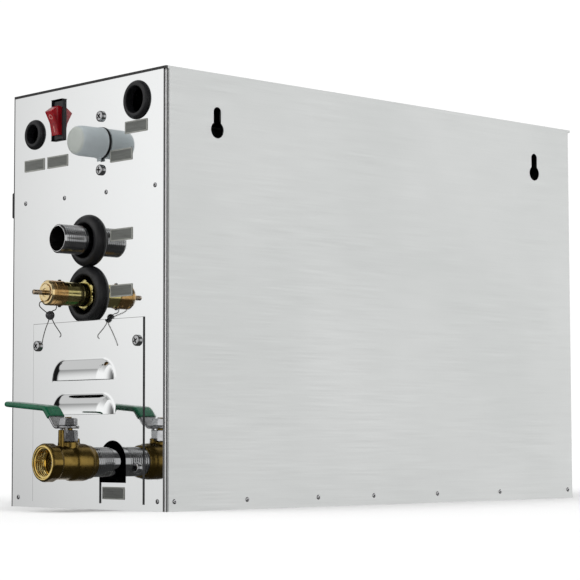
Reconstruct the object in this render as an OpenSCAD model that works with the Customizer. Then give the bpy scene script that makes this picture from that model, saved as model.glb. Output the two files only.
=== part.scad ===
// Sauna steam generator: a steel box with a boiler below and the electrical compartment above.
// Millimetres. X runs along the box to the connection end, Y to the back panel, Z up.
// The origin is the centre of the base.

/* [Casing] */
// Length of the box
body_l = 445; // [430:1:480]
// Width of the box
body_w = 180; // [178:1:200]
// Height of the box
body_h = 310; // [306:1:340]
// Thickness of the sheet steel
sheet_t = 1.2; // [1:0.1:1.5]
// Outer radius of the back panel's upright bends
bend_r = 2.5; // [2.1:0.1:3]
// Reach of the inward flanges that rivets and screws hold
flange_w = 14; // [12:0.5:16]
// Height of the top cover's rolled edge
cover_edge_h = 2; // [1.8:0.1:3]
// Strip of the back panel's bend left bare beside an end panel
bend_reveal = 2.7; // [2.2:0.1:4]

/* [Wall hanging] */
// Distance between the two keyholes
key_pitch = 350; // [300:5:380]
// Radius of a keyhole's round part
key_r = 6; // [5:0.5:7]
// Width of a keyhole's slot
key_slot_w = 7; // [6:0.5:8]
// Rise from a keyhole's centre to the top of its slot
key_rise = 16.4; // [14:0.2:20]
// Drop from the top of the box to a keyhole's centre
key_drop = 40.8; // [38:0.2:60]

/* [Access panel] */
// Strip of the connection end left bare on either side of the access panel
access_side = 25.6; // [22:0.2:27]
// Height of the access panel's foot above the base
access_z = 4.5; // [3:0.5:5]
// Thickness of the access panel
access_t = 1; // [0.8:0.1:1.2]
// Length of a louvre
louvre_l = 73; // [60:1:80]
// Height of a louvre
louvre_h = 14.3; // [12:0.1:15]
// Depth that a louvre stands out
louvre_d = 6; // [4:0.2:7]
// Width of the slot round the drain pipe
drain_slot_w = 30.3; // [28:0.1:32]

/* [Power switch] */
// Width of the switch bezel
bezel_w = 14; // [13.6:0.2:16]
// Height of the switch bezel
bezel_h = 31; // [30.4:0.2:33]
// Thickness of the switch bezel
bezel_t = 2; // [1.6:0.1:2.4]
// Radius from the rocker's pivot to its wing tips
rocker_tip_r = 13.7; // [13.2:0.1:13.8]
// Angle that the rocker swings over from one state to the other
rocker_swing = 40; // [30:1:42]

/* [Grommets] */
// Radius of the control cable grommet
control_lip_r = 11.3; // [10.5:0.1:12]
// Radius of the control cable grommet's hole
control_hole_r = 7; // [6:0.1:7.4]
// Radius of the power cable grommet
power_lip_r = 14; // [13:0.1:15]
// Radius of the power cable grommet's hole
power_hole_r = 9.5; // [8.5:0.1:10]
// Radius of the steam pipe's grommet
steam_lip_r = 18.1; // [17:0.1:18.2]
// Radius of the safety valve's grommet
safety_lip_r = 20.9; // [20:0.1:21]
// Drop from the safety valve's axis to the flat foot of its grommet
safety_flat_drop = 18.35; // [17:0.05:19]

/* [Water inlet] */
// Radius of the inlet spigot
spigot_r = 10.2; // [9.6:0.1:10.2]
// Length of the inlet spigot outside the panel
spigot_l = 16; // [12:0.5:18]
// Wall of the transport cap
cap_wall = 0.7; // [0.6:0.1:1]
// Length from the panel to the tip of the transport cap
cap_reach = 30; // [26:0.5:34]
// Height from an inlet valve screw to the valve's axis
inlet_screw_rise = 19.5; // [18:0.1:20]

/* [Pipes and safety valve] */
// Outer radius of the steam and drain nipples
pipe_r = 10.48; // [10:0.02:10.6]
// Bore radius of the steam and drain nipples
pipe_bore_r = 7.75; // [7:0.05:8.2]
// Reach of the steam nipple outside the panel
steam_reach = 28; // [24:0.5:34]
// Reach of the safety valve's bonnet outside the panel
bonnet_reach = 38.6; // [36:0.2:42]
// Reach of the safety valve's stem outside the panel
safety_stem_reach = 50.4; // [48:0.2:54]

/* [Drain valve] */
// Distance from the panel to the valve stem
valve_stem_reach = 41.5; // [40:0.1:46]
// Length of the valve body
valve_l = 40.5; // [40:0.1:44]
// Width across the valve body's flats
valve_flats = 25.6; // [25:0.1:28]
// Radius of the ball
ball_r = 8.2; // [7.8:0.05:8.4]
// Bore radius of the ball
ball_bore_r = 5; // [4:0.1:5.2]
// Bore radius of the outlet, before its thread
outlet_r = 9.5; // [9.3:0.05:9.7]
// Length of the lever from the stem to its tip
lever_l = 70; // [60:1:90]
// Width of the lever's steel plate
lever_w = 12.8; // [12:0.2:15]
// Thickness of the lever's steel plate
lever_t = 2; // [1.6:0.1:2.4]
// Thickness of the lever's plastic sleeve
sleeve_t = 0.9; // [0.7:0.1:1.4]

/* [Boiler] */
// Width of the boiler tank
tank_w = 146; // [140:1:150]
// Thickness of the tank's wall
tank_t = 1.5; // [1.2:0.1:2]
// Radius of the tank's long edges
tank_edge_r = 16; // [12:1:20]
// Radius of a heating element
element_r = 4; // [3:0.25:5]

/* [Hidden] */

// Facets of round things
fine = 64;
mid = 40;
small = 24;
// Overrun of a cut past a face
cut = 1;
// Gap between pieces that move past each other
gap = 0.3;
// Radial clearance of a running fit
run_fit = 0.05;

// Colours
steel_c = [0.82, 0.83, 0.83];
mirror_c = [0.90, 0.91, 0.92];
chrome_c = [0.55, 0.56, 0.58];
brass_c = [0.62, 0.46, 0.16];
olive_c = [0.52, 0.47, 0.17];
black_c = [0.10, 0.10, 0.11];
red_c = [0.72, 0.05, 0.08];
grey_c = [0.62, 0.66, 0.65];
green_c = [0.05, 0.33, 0.22];
plate_c = [0.55, 0.56, 0.53];
white_c = [0.92, 0.92, 0.90];
board_c = [0.08, 0.35, 0.20];

// Walls and the planes that pieces seat on
end_x = body_l / 2;
half_w = body_w / 2;
wall_x = end_x - sheet_t;
wall_y = half_w - sheet_t;
wall_top = body_h - cover_edge_h;
tray_h = flange_w;
return_y = half_w - bend_r - flange_w;
foot_rivet_z = tray_h / 2;

// Shelf between the boiler and the electrical compartment
shelf_drop = 76;
shelf_z = body_h - shelf_drop;
shelf_rivet_z = shelf_z - flange_w / 2;

// Heads of rivets and screws
rivet_head_r = 1.75;
rivet_head_h = 0.6;
screw_head_r = 4;
screw_head_h = 1.8;
screw_r = 1.9;
screw_l = 6;
cover_screw_head_h = 1.3;

// Rivet places, as shares of the half width or half length
end_rivet_shares = [-0.829, -0.293, 0.256, 0.869];
foot_rivet_share = 0.905;
back_rivet_shares = [0.963, 0.659, 0.342, 0.079, -0.240, -0.574, -0.961];

// Cover screws: places from the walls
cover_screw_in = sheet_t + flange_w / 2;
top_screw_y_share = 0.65;
front_screw_zs = [tray_h * 3, body_h / 2, body_h - tray_h * 3];

// Pull on the front cover
pull_l = 12;
pull_h = 16;
pull_d = 3.2;
pull_drop = 83;
pull_inset = 2;

// Name plates
plate_w = 25;
plate_h = 8.8;
plate_t = 0.4;
plate_r = 0.6;

// Power switch
switch_y = -33.7;
switch_drop = 24.3;
switch_z = body_h - switch_drop;
bezel_frame = 2.2;
housing_wall = 0.9;
housing_in_w = bezel_w - 2 * bezel_frame;
housing_in_h = bezel_h - 2 * bezel_frame;
housing_w = housing_in_w + 2 * housing_wall;
housing_h = housing_in_h + 2 * housing_wall;
housing_depth = 18;
housing_floor = 3;
bezel_round = 1;
pivot_depth = 1.5;
pivot_r = 1.2;
rocker_w = housing_in_w - 2 * gap;
rocker_tip_a = 42.7;
rocker_valley = 8;
// Back of the rocker, as shares of its tip radius
rocker_back_shares = [[0.073, 0.898], [-0.219, 0.730], [-0.328, 0]];
terminal_w = 4.8;
terminal_t = 0.8;
terminal_l = 8;
terminal_gap = 8;

// Cable grommets
control_y = -63;
control_drop = 32;
control_z = body_h - control_drop;
power_edge = 31.8;
power_y = half_w - power_edge;
power_drop = 20.5;
power_z = body_h - power_drop;
cable_lip_h = 3.2;
cable_neck_t = 2;
cable_inner_h = 2.4;
cable_round_shares = [0.5, 0.25];
inner_lip_w = 1.8;

// Steam outlet and safety valve
tank_clear = 24;
tank_top = shelf_z - tank_clear;
tank_front_gap = 36;
tank_rear_gap = 62;
tank_z = 20;
tank_x1 = end_x - tank_front_gap;
tank_x0 = -end_x + tank_rear_gap;
steam_y = 2.4;
steam_drop = 16.8;
steam_z = tank_top - steam_drop;
steam_hole_r = 12.4;
safety_y = 2.6;
safety_z = steam_z - steam_lip_r - safety_lip_r - gap;
safety_hole_r = 14;
pipe_lip_h = 6;
pipe_neck_t = 1.6;
pipe_inner_h = 3;
pipe_round_shares = [0.5, 0.45];
pipe_bevel = 1.2;
pipe_relief = 0.2;
pipe_plain_r = pipe_r - pipe_relief;
thread_clear = 2;
thread_start = pipe_lip_h + thread_clear;
socket_wall = 3;
socket_l = 10;

// Drain line
drain_edge = 55.2;
drain_y = half_w - drain_edge;
drain_z = 34;
drain_slot_shift = 1.9;
drain_slot_y = drain_y - drain_slot_shift;
drain_slot_r = drain_slot_w / 2;
drain_slot_z = drain_z;
drain_hole_w = drain_slot_w + 4 * sheet_t;
drain_hole_z = 19.3;
drain_hole_top = drain_slot_z + drain_slot_r + 2 * sheet_t;

// Access panel
access_y = 2.1;
access_w = body_w - 2 * access_side;
access_top = safety_z - safety_flat_drop - run_fit;
access_screw_in = 6;
access_screw_low = 25.5;
access_screw_drop = 16.5;
louvre_y = -1;
louvre_z_shares = [0.489, 0.1936];
louvre_zs = [for (k = louvre_z_shares) drain_hole_top + k * (access_top - drain_hole_top)];
louvre_back = (louvre_h * louvre_h - louvre_d * louvre_d) / (2 * louvre_d);
louvre_r = louvre_back + louvre_d;
vent_l = louvre_l - 2 * louvre_h;
vent_r = louvre_h / 4;

// Safety valve sizes
hex_corner_r = 10.9;
hex_l = 6;
hex_reach = 1;
valve_tail_r = 8;
safety_body_r = 8.5;
safety_body_reach = 24;
bonnet_r = 9;
bonnet_wall = 2;
bonnet_step = 3;
bonnet_boss_r = 6.1;
bonnet_boss_h = 0.8;
bonnet_floor = 3;
bonnet_bevel = 0.6;
chamber_in_r = 5.6;
wire_hole_r = 0.6;
wire_hole_ring_r = 7.6;
wire_hole_a = 35;
wire_hole_in = 2.2;
safety_stem_r = 1.8;
orifice_r = 3.5;
disc_r = 5;
disc_t = 1.5;
seat_reach = 9;
spring_wire_r = 0.6;
spring_coil_r = 4.2;
vent_hole_r = 2;
vent_reach = 13;
pin_r = 1.2;
pin_stand = 0.9;
pin_reach = 25.7;

// Seal wires: diameter and the points of their routes, from the valve to the loose end
wire_d = 0.7;
wire_sides = 8;
wire_front = [[36.8, -1.8, -6.15], [37.7, -1.8, -6.2], [38.7, -1.8, -6.3], [39.5, -2, -6.9], [39.8, -2.2, -8],
    [39.4, -2.5, -9.2], [38.1, -2.9, -10.3], [36, -3.6, -11.4], [33.6, -4.4, -12.5], [31.3, -5.2, -13.5],
    [29.4, -6, -14.6], [28.2, -6.6, -16], [27.9, -6.9, -17.8], [28.3, -6.9, -19.6], [29.3, -6.7, -21.6],
    [30.7, -6.4, -24.1], [32, -6, -26.8], [33.2, -5.6, -29.6], [34.3, -5.2, -32.4], [35.2, -4.8, -35.4]];
wire_rear = [[28.2, 2.6, -6.2], [28.2, 2.6, -8.2], [28.2, 2.5, -9.8], [28.2, 1.9, -11.1], [28.1, 0.5, -11.9],
    [28, -1.2, -12.1], [27.8, -2.9, -12.5], [27.5, -4.2, -13.6], [27.1, -4.9, -15.1], [26.6, -5.3, -16.8],
    [25.7, -5.5, -18.6], [24.6, -5.6, -20.4], [23.3, -5.7, -22.2], [21.7, -5.8, -24], [20.1, -6, -25.7],
    [18.7, -6.1, -27.2], [17.8, -6.1, -28.5], [17.9, -6, -29.8], [18.9, -5.9, -30.7]];
seal_r = 3.3;
seal_t = 5;
seal_at = [27.5, -6, -15.4];

// Water inlet valve
inlet_y = 17;
inlet_drop = 47;
inlet_z = body_h - inlet_drop;
inlet_bore_r = 6;
inlet_hole_r = spigot_r + gap;
inlet_plate_w = 26;
inlet_plate_t = 3;
inlet_plate_end = 5;
inlet_body_r = 13;
inlet_body_l = 62;
spout_x = 48;
spout_r = 5;
spout_l = 14;
spout_bore_r = 2.5;
chamber_r = 7;
chamber_floor = 2;
chamber_roof = 2;
plunger_wire_r = 0.4;
plunger_coil_r = 3.2;
armature_r = 6;
armature_wall = 1;
armature_l = 26;
plunger_r = armature_r - armature_wall - run_fit;
plunger_l = 22;
coil_w = 26;
coil_d = 22;
coil_h = 20;
coil_edge_r = 3;
cap_r = spigot_r + run_fit + cap_wall;
cap_seat = 1.8;
cap_nose_share = 0.73;
cap_bead_r = 0.5;
cap_bead_h = 1;
cap_tab_w = 3;
cap_tab_l = 2.4;
root_ring_r = 11.9;
strainer_r = inlet_bore_r;
strainer_l = 5;
strainer_wall = 0.8;
strainer_hole_r = 0.8;
strainer_ring_r = 3.2;
port_l = 10;
port_bore_r = 3.5;
hose_end = 2;
clip_at = 3;
hose_wall = 1.5;
clip_t = 0.8;
clip_w = 5;

// Drain valve, measured from the stem's axis along the pipe
valve_in = -18.5;
valve_out = valve_in + valve_l;
valve_turn_r = 13;
valve_neck_r = 11.8;
valve_neck_in = 0.7;
valve_neck_out = valve_out - 9.5;
collar_r = 13.3;
collar_bevel = 1.3;
socket_depth = 9;
valve_bevel = 2;
chamber_step = 0.3;
chamber_bore_r = outlet_r - chamber_step;
relief_l = 1;
relief_d = 0.4;
seat_r = chamber_bore_r - run_fit;
seat_t = 3;
seat_bore_r = ball_bore_r + 2 * run_fit;
boss_r = 7.2;
boss_top = 14.2;
stem_r = 3;
stem_foot_r = 4.4;
stem_foot_t = 1.6;
slot_w = 3;
slot_d = 2.2;
gland_r = 4.6;
gland_in = 3;
gland_corner_r = 6.8;
gland_top = 22.4;
hub_z = 23.4;
hub_r = 7.6;
stem_top = 31.5;
nut_flats = 11;
nut_t = 5.4;
stem_flats = 4.6;
post_ring_r = 9;
post_r = 2;
post_a = 20;
post_top = 22.6;
lug_ring_r = 8;
lug_r = 1.6;
lug_top = 16.6;
ear_t = 1.8;
ear_drop = 3.6;
ear_in = 7.1;
ear_turn_a = 24;
bend_y = 8.5;
slope_run = 12;
slope_rise = 13.3;
handle_rise_a = 4.3;
sleeve_start_share = 0.55;

// Boiler parts
bracket_w = 30;
bracket_in_share = 0.3;
heater_flange_r = 38;
heater_flange_t = 4;
heater_z = 66;
element_loop_r = 12;
element_zs = [-20, 0, 20];
element_in = 46;
element_stub = 18;
heater_nut_r = 6.5;
heater_nut_t = 4;
flange_bolt_r = 33.8;
flange_bolt_head_r = 3.4;
flange_bolt_head_h = 3;
flange_land = 1;
heater_hole_r = flange_bolt_r - flange_bolt_head_r - flange_land;
probe_x = -60;
probe_y = -30;
probe_head_r = 9;
probe_head_h = 12;
probe_rod_r = 1.5;
probe_rod_ls = [60, 110, 150];
probe_rod_pitch = 5;
probe_hole_r = 7;
probe_stud = 6;
thermostat_x = 40;
thermostat_r = 8;
thermostat_h = 9;
thermostat_ear_l = 24;
thermostat_ear_t = 1;

// Electrical compartment
board_l = 130;
board_w = 92;
board_t = 1.6;
board_x = -20;
board_y = -24;
standoff_h = 8;
standoff_r = 3;
board_in = 5;
relay_l = 29;
relay_w = 24;
relay_h = 26;
relay_x = -150;
relay_pitch = 34;
block_l = 70;
block_w = 22;
block_h = 20;
block_x = 70;
block_y = 58;
block_ways = 6;
block_screw_r = 3;

// A block between two corners
module box(x0, x1, y0, y1, z0, z1) translate([x0, y0, z0]) cube([x1 - x0, y1 - y0, z1 - z0]);

// Turns a shape so that its Z axis runs out of the connection end, at a place on that end
module on_end(y, z, x = 0) translate([end_x + x, y, z]) rotate([0, 90, 0]) children();

// Turns a flat outline drawn as (Y, Z) so that it is extruded along X
module along_x(x0, x1) translate([x0, 0, 0]) rotate([90, 0, 90]) linear_extrude(x1 - x0) children();

module rounded(w, h, r) {
    square([w - 2 * r, h], center = true);
    square([w, h - 2 * r], center = true);
    for (sx = [-1, 1], sy = [-1, 1]) translate([sx * (w / 2 - r), sy * (h / 2 - r)]) circle(r, $fn = small);
}

module ring(ro, ri, h, n = fine) difference() {
    cylinder(h = h, r = ro, $fn = n);
    translate([0, 0, -cut]) cylinder(h = h + 2 * cut, r = ri, $fn = n);
}

// Half outline of a lip from one radius to another, with a large outer and a small inner rounding
module lip_outline(ri, ro, h, ra, rb) {
    difference() {
        translate([ri, 0]) square([ro - ri, h]);
        translate([ro - ra, h - ra]) square(ra + cut);
        translate([ri - cut, h - rb]) square([rb + cut, rb + cut]);
    }
    intersection() {
        translate([ro - ra, h - ra]) circle(ra, $fn = mid);
        translate([ri, 0]) square([ro - ri, h]);
    }
    intersection() {
        translate([ri + rb, h - rb]) circle(rb, $fn = mid);
        translate([ri, 0]) square([ro - ri, h]);
    }
}

// A screw that stands on the plane z = 0, with its head up and its shank down
module screw(head_r, head_h, shank_r, shank_l) {
    dome_r = (head_r * head_r + head_h * head_h) / (2 * head_h);
    intersection() {
        translate([0, 0, head_h - dome_r]) sphere(dome_r, $fn = mid);
        cylinder(h = head_h, r = head_r, $fn = small);
    }
    translate([0, 0, -shank_l]) cylinder(h = shank_l, r = shank_r, $fn = small);
}

// A domed rivet head on the plane z = 0
module rivet() {
    dome_r = (rivet_head_r * rivet_head_r + rivet_head_h * rivet_head_h) / (2 * rivet_head_h);
    intersection() {
        translate([0, 0, rivet_head_h - dome_r]) sphere(dome_r, $fn = mid);
        cylinder(h = rivet_head_h, r = rivet_head_r, $fn = small);
    }
}

module hexagon(corner_r, h) cylinder(h = h, r = corner_r, $fn = 6);

// Points of a tube of equal rings round a route, and the faces that close it
function unit(v) = v / norm(v);
function heading(p, i) = unit(p[min(i + 1, len(p) - 1)] - p[max(i - 1, 0)]);
function side_of(d) = unit(cross(d, [1, 0, 0]));
function ring_at(p, i, r, n) = let (d = heading(p, i), u = side_of(d), v = cross(d, u))
    [for (k = [0:n - 1]) p[i] + r * (cos(360 * k / n) * u + sin(360 * k / n) * v)];
function tube_faces(rings, n) = concat([[for (k = [n - 1:-1:0]) k]],
    [for (i = [0:rings - 2], k = [0:n - 1])
        [i * n + k, i * n + (k + 1) % n, (i + 1) * n + (k + 1) % n, (i + 1) * n + k]],
    [[for (k = [0:n - 1]) (rings - 1) * n + k]]);
module tube(points, r, n) polyhedron([for (i = [0:len(points) - 1]) each ring_at(points, i, r, n)],
    tube_faces(len(points), n), convexity = 10);

// Rings of a spring about the Z axis, each in a plane through the axis
function coil_point(coil_r, wire_r, pitch, a, k, n) = let (r = coil_r + wire_r * cos(360 * k / n))
    [r * cos(a), r * sin(a), pitch * a / 360 + wire_r * sin(360 * k / n)];
module spring(coil_r, wire_r, length, turns) {
    n = 6;
    steps = 10 * turns;
    pitch = (length - 2 * wire_r) / turns;
    translate([0, 0, wire_r]) polyhedron([for (i = [0:steps], k = [0:n - 1])
        coil_point(coil_r, wire_r, pitch, 36 * i, -k, n)], tube_faces(steps + 1, n), convexity = 20);
}

// Casing
module base_tray() color(steel_c) difference() {
    box(-wall_x, wall_x, -wall_y, wall_y, 0, tray_h);
    box(-wall_x + sheet_t, wall_x - sheet_t, -wall_y + sheet_t, wall_y - sheet_t, sheet_t, tray_h + cut);
    for (s = [-1, 1]) translate([s * wall_x, wall_y, tray_h / 2])
        cube([2 * (bend_r + gap), 2 * (bend_r + gap), tray_h + 2 * cut], center = true);
}

// Plan outline of the back panel, with returns of a given reach behind the end panels
module back_outline(reach) intersection() {
    difference() {
        rounded(2 * wall_x, body_w, bend_r);
        rounded(2 * (wall_x - sheet_t), body_w - 2 * sheet_t, bend_r - sheet_t);
    }
    translate([-wall_x - cut, half_w - bend_r - reach]) square([2 * (wall_x + cut), bend_r + reach + cut]);
}

module keyhole() {
    rotate([-90, 0, 0]) {
        cylinder(h = sheet_t + 2 * cut, r = key_r, $fn = fine);
        translate([0, -(key_rise - key_slot_w / 2), 0]) cylinder(h = sheet_t + 2 * cut, r = key_slot_w / 2, $fn = mid);
    }
    box(-key_slot_w / 2, key_slot_w / 2, 0, sheet_t + 2 * cut, 0, key_rise - key_slot_w / 2);
}

module back_panel() color(steel_c) difference() {
    union() {
        linear_extrude(wall_top) back_outline(0);
        translate([0, 0, tray_h + gap]) linear_extrude(wall_top - tray_h - gap) back_outline(flange_w);
        box(-wall_x + bend_r, wall_x - bend_r, wall_y - flange_w, wall_y, wall_top - sheet_t, wall_top);
    }
    for (s = [-1, 1]) translate([s * key_pitch / 2, wall_y - cut, body_h - key_drop]) keyhole();
    top_screw_holes();
}

// An end wall in the place of the connection end, without its openings
module end_wall() {
    box(wall_x, end_x, -wall_y, half_w - bend_reveal, 0, wall_top);
    box(wall_x - flange_w, wall_x, -wall_y, -wall_y + sheet_t, tray_h + gap, wall_top);
    box(wall_x - flange_w, wall_x, -wall_y, return_y - gap, wall_top - sheet_t, wall_top);
}

module top_screw_places() for (sx = [-1, 1]) {
    for (sy = [-1, 1]) translate([sx * (end_x - cover_screw_in), sy * half_w * top_screw_y_share, body_h])
        children();
    translate([sx * end_x / 2, wall_y - flange_w / 2, body_h]) children();
}
module top_screw_holes() top_screw_places()
    translate([0, 0, -screw_l - cut]) cylinder(h = screw_l + 2 * cut, r = screw_r, $fn = small);
module front_screw_places() for (sx = [-1, 1], z = front_screw_zs)
    translate([sx * (end_x - cover_screw_in), -half_w, z]) rotate([90, 0, 0]) children();
module front_screw_holes() front_screw_places()
    translate([0, 0, -screw_l - cut]) cylinder(h = screw_l + 2 * cut, r = screw_r, $fn = small);

module access_screw_places() for (sy = [-1, 1], z = [access_z + access_screw_low, access_top - access_screw_drop])
    on_end(access_y + sy * (access_w / 2 - access_screw_in), z) children();
module access_screw_holes() access_screw_places()
    translate([0, 0, -screw_l - cut]) cylinder(h = screw_l + access_t + 2 * cut, r = screw_r, $fn = small);
module inlet_screw_places() for (s = [-1, 1]) on_end(inlet_y, inlet_z + s * inlet_screw_rise) children();
module inlet_screw_holes(depth) inlet_screw_places()
    translate([0, 0, -depth - cut]) cylinder(h = depth + 2 * cut, r = screw_r, $fn = small);

module panel_hole(y, z, r) on_end(y, z, -sheet_t - cut) cylinder(h = sheet_t + 2 * cut, r = r, $fn = fine);

module vent_slot(z) translate([wall_x - cut, louvre_y, z]) {
    for (s = [-1, 1]) translate([0, s * (vent_l / 2 - vent_r), 0]) rotate([0, 90, 0])
        cylinder(h = sheet_t + 2 * cut, r = vent_r, $fn = mid);
    box(0, sheet_t + 2 * cut, -vent_l / 2 + vent_r, vent_l / 2 - vent_r, -vent_r, vent_r);
}

module connection_panel() color(mirror_c) difference() {
    end_wall();
    panel_hole(control_y, control_z, control_hole_r + cable_neck_t);
    panel_hole(power_y, power_z, power_hole_r + cable_neck_t);
    panel_hole(steam_y, steam_z, steam_hole_r + pipe_neck_t);
    panel_hole(safety_y, safety_z, safety_hole_r + pipe_neck_t);
    panel_hole(inlet_y, inlet_z, inlet_hole_r);
    box(wall_x - cut, end_x + cut, switch_y - housing_w / 2, switch_y + housing_w / 2,
        switch_z - housing_h / 2, switch_z + housing_h / 2);
    box(wall_x - cut, end_x + cut, drain_slot_y - drain_hole_w / 2, drain_slot_y + drain_hole_w / 2,
        drain_hole_z, drain_hole_top);
    for (z = louvre_zs) vent_slot(z + louvre_h / 2);
    access_screw_holes();
    inlet_screw_holes(screw_l);
    top_screw_holes();
    front_screw_holes();
}

module far_end_panel() color(steel_c) difference() {
    mirror([1, 0, 0]) end_wall();
    top_screw_holes();
    front_screw_holes();
}

module top_cover() color(steel_c) {
    r = cover_edge_h;
    difference() {
        intersection() {
            union() {
                box(-end_x + r, end_x - r, -half_w + r, half_w - r, wall_top, body_h);
                for (s = [-1, 1]) {
                    translate([-end_x + r, s * (half_w - r), wall_top]) rotate([0, 90, 0])
                        cylinder(h = body_l - 2 * r, r = r, $fn = mid);
                    translate([s * (end_x - r), half_w - r, wall_top]) rotate([90, 0, 0])
                        cylinder(h = body_w - 2 * r, r = r, $fn = mid);
                    for (t = [-1, 1]) translate([s * (end_x - r), t * (half_w - r), wall_top]) sphere(r, $fn = mid);
                }
            }
            box(-end_x, end_x, -half_w, half_w, wall_top, body_h);
        }
        box(-wall_x + flange_w, wall_x - flange_w, -wall_y + flange_w, wall_y - flange_w,
            wall_top - cut, body_h - sheet_t);
        top_screw_holes();
    }
}

module front_cover() color(steel_c) difference() {
    box(-end_x, end_x, -half_w, -wall_y, 0, wall_top);
    front_screw_holes();
}

module front_cover_pull() color(black_c)
    translate([end_x - pull_inset - pull_l / 2, -half_w, body_h - pull_drop]) rotate([90, 0, 0])
        linear_extrude(pull_d) rounded(pull_l, pull_h, pull_l / 4);

module inner_shelf() color(steel_c) difference() {
    union() {
        box(-wall_x + sheet_t + gap, wall_x - sheet_t - gap, -wall_y + sheet_t + gap, wall_y,
            shelf_z - sheet_t, shelf_z);
        for (s = [0, 1]) mirror([s, 0, 0]) {
            box(wall_x - sheet_t, wall_x, -wall_y + sheet_t + gap, return_y - gap,
                shelf_z - flange_w, shelf_z);
            box(wall_x - 2 * sheet_t, wall_x, -wall_y + sheet_t + gap, return_y - gap,
                shelf_z - sheet_t, shelf_z);
        }
    }
    translate([end_x - spout_x, inlet_y, shelf_z - sheet_t - cut])
        cylinder(h = sheet_t + 2 * cut, r = spout_r + hose_wall + clip_t, $fn = mid);
    translate([relay_x, -half_w / 2, shelf_z - sheet_t - cut])
        cylinder(h = sheet_t + 2 * cut, r = inlet_body_r, $fn = mid);
}

// Hood of a louvre: a round bar with ball ends, cut to what stands over the panel and above the mouth
module louvre_bulge(z, r) translate([end_x + access_t - louvre_back, louvre_y, z]) {
    translate([0, louvre_l / 2 - louvre_h, 0]) rotate([90, 0, 0])
        cylinder(h = louvre_l - 2 * louvre_h, r = r, $fn = fine);
    for (s = [-1, 1]) translate([0, s * (louvre_l / 2 - louvre_h), 0]) sphere(r, $fn = fine);
}

module access_panel() color(mirror_c) difference() {
    union() {
        box(end_x, end_x + access_t, access_y - access_w / 2, access_y + access_w / 2, access_z, access_top);
        for (z = louvre_zs) intersection() {
            louvre_bulge(z, louvre_r);
            box(end_x, end_x + access_t + louvre_d, louvre_y - louvre_l / 2, louvre_y + louvre_l / 2,
                z, z + louvre_h);
        }
    }
    for (z = louvre_zs) intersection() {
        louvre_bulge(z, louvre_r - access_t);
        box(end_x - cut, end_x + access_t + louvre_d, louvre_y - louvre_l / 2, louvre_y + louvre_l / 2,
            z, z + louvre_h);
    }
    on_end(drain_slot_y, drain_slot_z, -cut) cylinder(h = access_t + 2 * cut, r = drain_slot_r, $fn = fine);
    box(end_x - cut, end_x + access_t + cut, drain_slot_y - drain_slot_r, drain_slot_y + drain_slot_r,
        access_z - cut, drain_slot_z);
    access_screw_holes();
}

module casing_rivets() color(chrome_c) {
    for (k = end_rivet_shares) on_end(k * half_w, shelf_rivet_z) rivet();
    for (s = [-1, 1]) on_end(s * foot_rivet_share * half_w, foot_rivet_z) rivet();
    for (k = end_rivet_shares) translate([-end_x, k * half_w, shelf_rivet_z]) rotate([0, -90, 0]) rivet();
    for (s = [-1, 1]) translate([-end_x, s * foot_rivet_share * half_w, foot_rivet_z]) rotate([0, -90, 0]) rivet();
    for (k = back_rivet_shares) translate([k * end_x, half_w, foot_rivet_z]) rotate([-90, 0, 0]) rivet();
}

module cover_screws() color(chrome_c) {
    top_screw_places() screw(screw_head_r, cover_screw_head_h, screw_r, screw_l);
    front_screw_places() screw(screw_head_r, cover_screw_head_h, screw_r, screw_l);
}

module access_panel_screws() color(chrome_c) access_screw_places()
    translate([0, 0, access_t]) screw(screw_head_r, screw_head_h, screw_r, screw_l);

// Places of the blank name plates: across, and height above the base
control_tag_shift = 0.5;
control_tag_drop = 23;
switch_tag_shift = 1.2;
switch_tag_drop = 30.7;
inlet_tag_shift = 23.4;
inlet_tag_drop = 11;
power_tag_shift = 1;
power_tag_drop = power_lip_r + gap + plate_h / 2;
steam_tag_shift = 38.6;
steam_tag_rise = 2;
safety_tag_shift = 38.4;
safety_tag_rise = 1.3;
drain_tag_rise = 7.4;
plate_places = [[control_y - control_tag_shift, control_z - control_tag_drop],
    [switch_y - switch_tag_shift, switch_z - switch_tag_drop],
    [inlet_y + inlet_tag_shift, inlet_z - inlet_tag_drop],
    [power_y - power_tag_shift, power_z - power_tag_drop],
    [steam_y + steam_tag_shift, steam_z + steam_tag_rise],
    [safety_y + safety_tag_shift, safety_z + safety_tag_rise],
    [drain_slot_y, access_z + drain_tag_rise]];
module name_plates() color(plate_c) for (p = plate_places)
    translate([end_x, p[0], p[1]]) rotate([90, 0, 90]) linear_extrude(plate_t) rounded(plate_w, plate_h, plate_r);

// Grommets, each a lip outside the panel, a neck in its hole and a smaller lip inside
module grommet(hole_r, lip_r, lip_h, neck_t, inner_h, shares) rotate_extrude($fn = fine) {
    lip_outline(hole_r, lip_r, lip_h, (lip_r - hole_r) * shares[0], (lip_r - hole_r) * shares[1]);
    translate([hole_r, -sheet_t - inner_h]) square([neck_t, sheet_t + inner_h]);
    translate([hole_r, -sheet_t - inner_h]) square([neck_t + inner_lip_w, inner_h]);
}
module control_cable_grommet() color(black_c) on_end(control_y, control_z)
    grommet(control_hole_r, control_lip_r, cable_lip_h, cable_neck_t, cable_inner_h, cable_round_shares);
module power_cable_grommet() color(black_c) on_end(power_y, power_z)
    grommet(power_hole_r, power_lip_r, cable_lip_h, cable_neck_t, cable_inner_h, cable_round_shares);
module steam_pipe_grommet() color(black_c) on_end(steam_y, steam_z)
    grommet(steam_hole_r, steam_lip_r, pipe_lip_h, pipe_neck_t, pipe_inner_h, pipe_round_shares);
module safety_valve_grommet() color(black_c) difference() {
    on_end(safety_y, safety_z)
        grommet(safety_hole_r, safety_lip_r, pipe_lip_h, pipe_neck_t, pipe_inner_h, pipe_round_shares);
    box(end_x, end_x + pipe_lip_h + cut, -half_w, half_w, access_z, access_top + run_fit);
}

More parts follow.
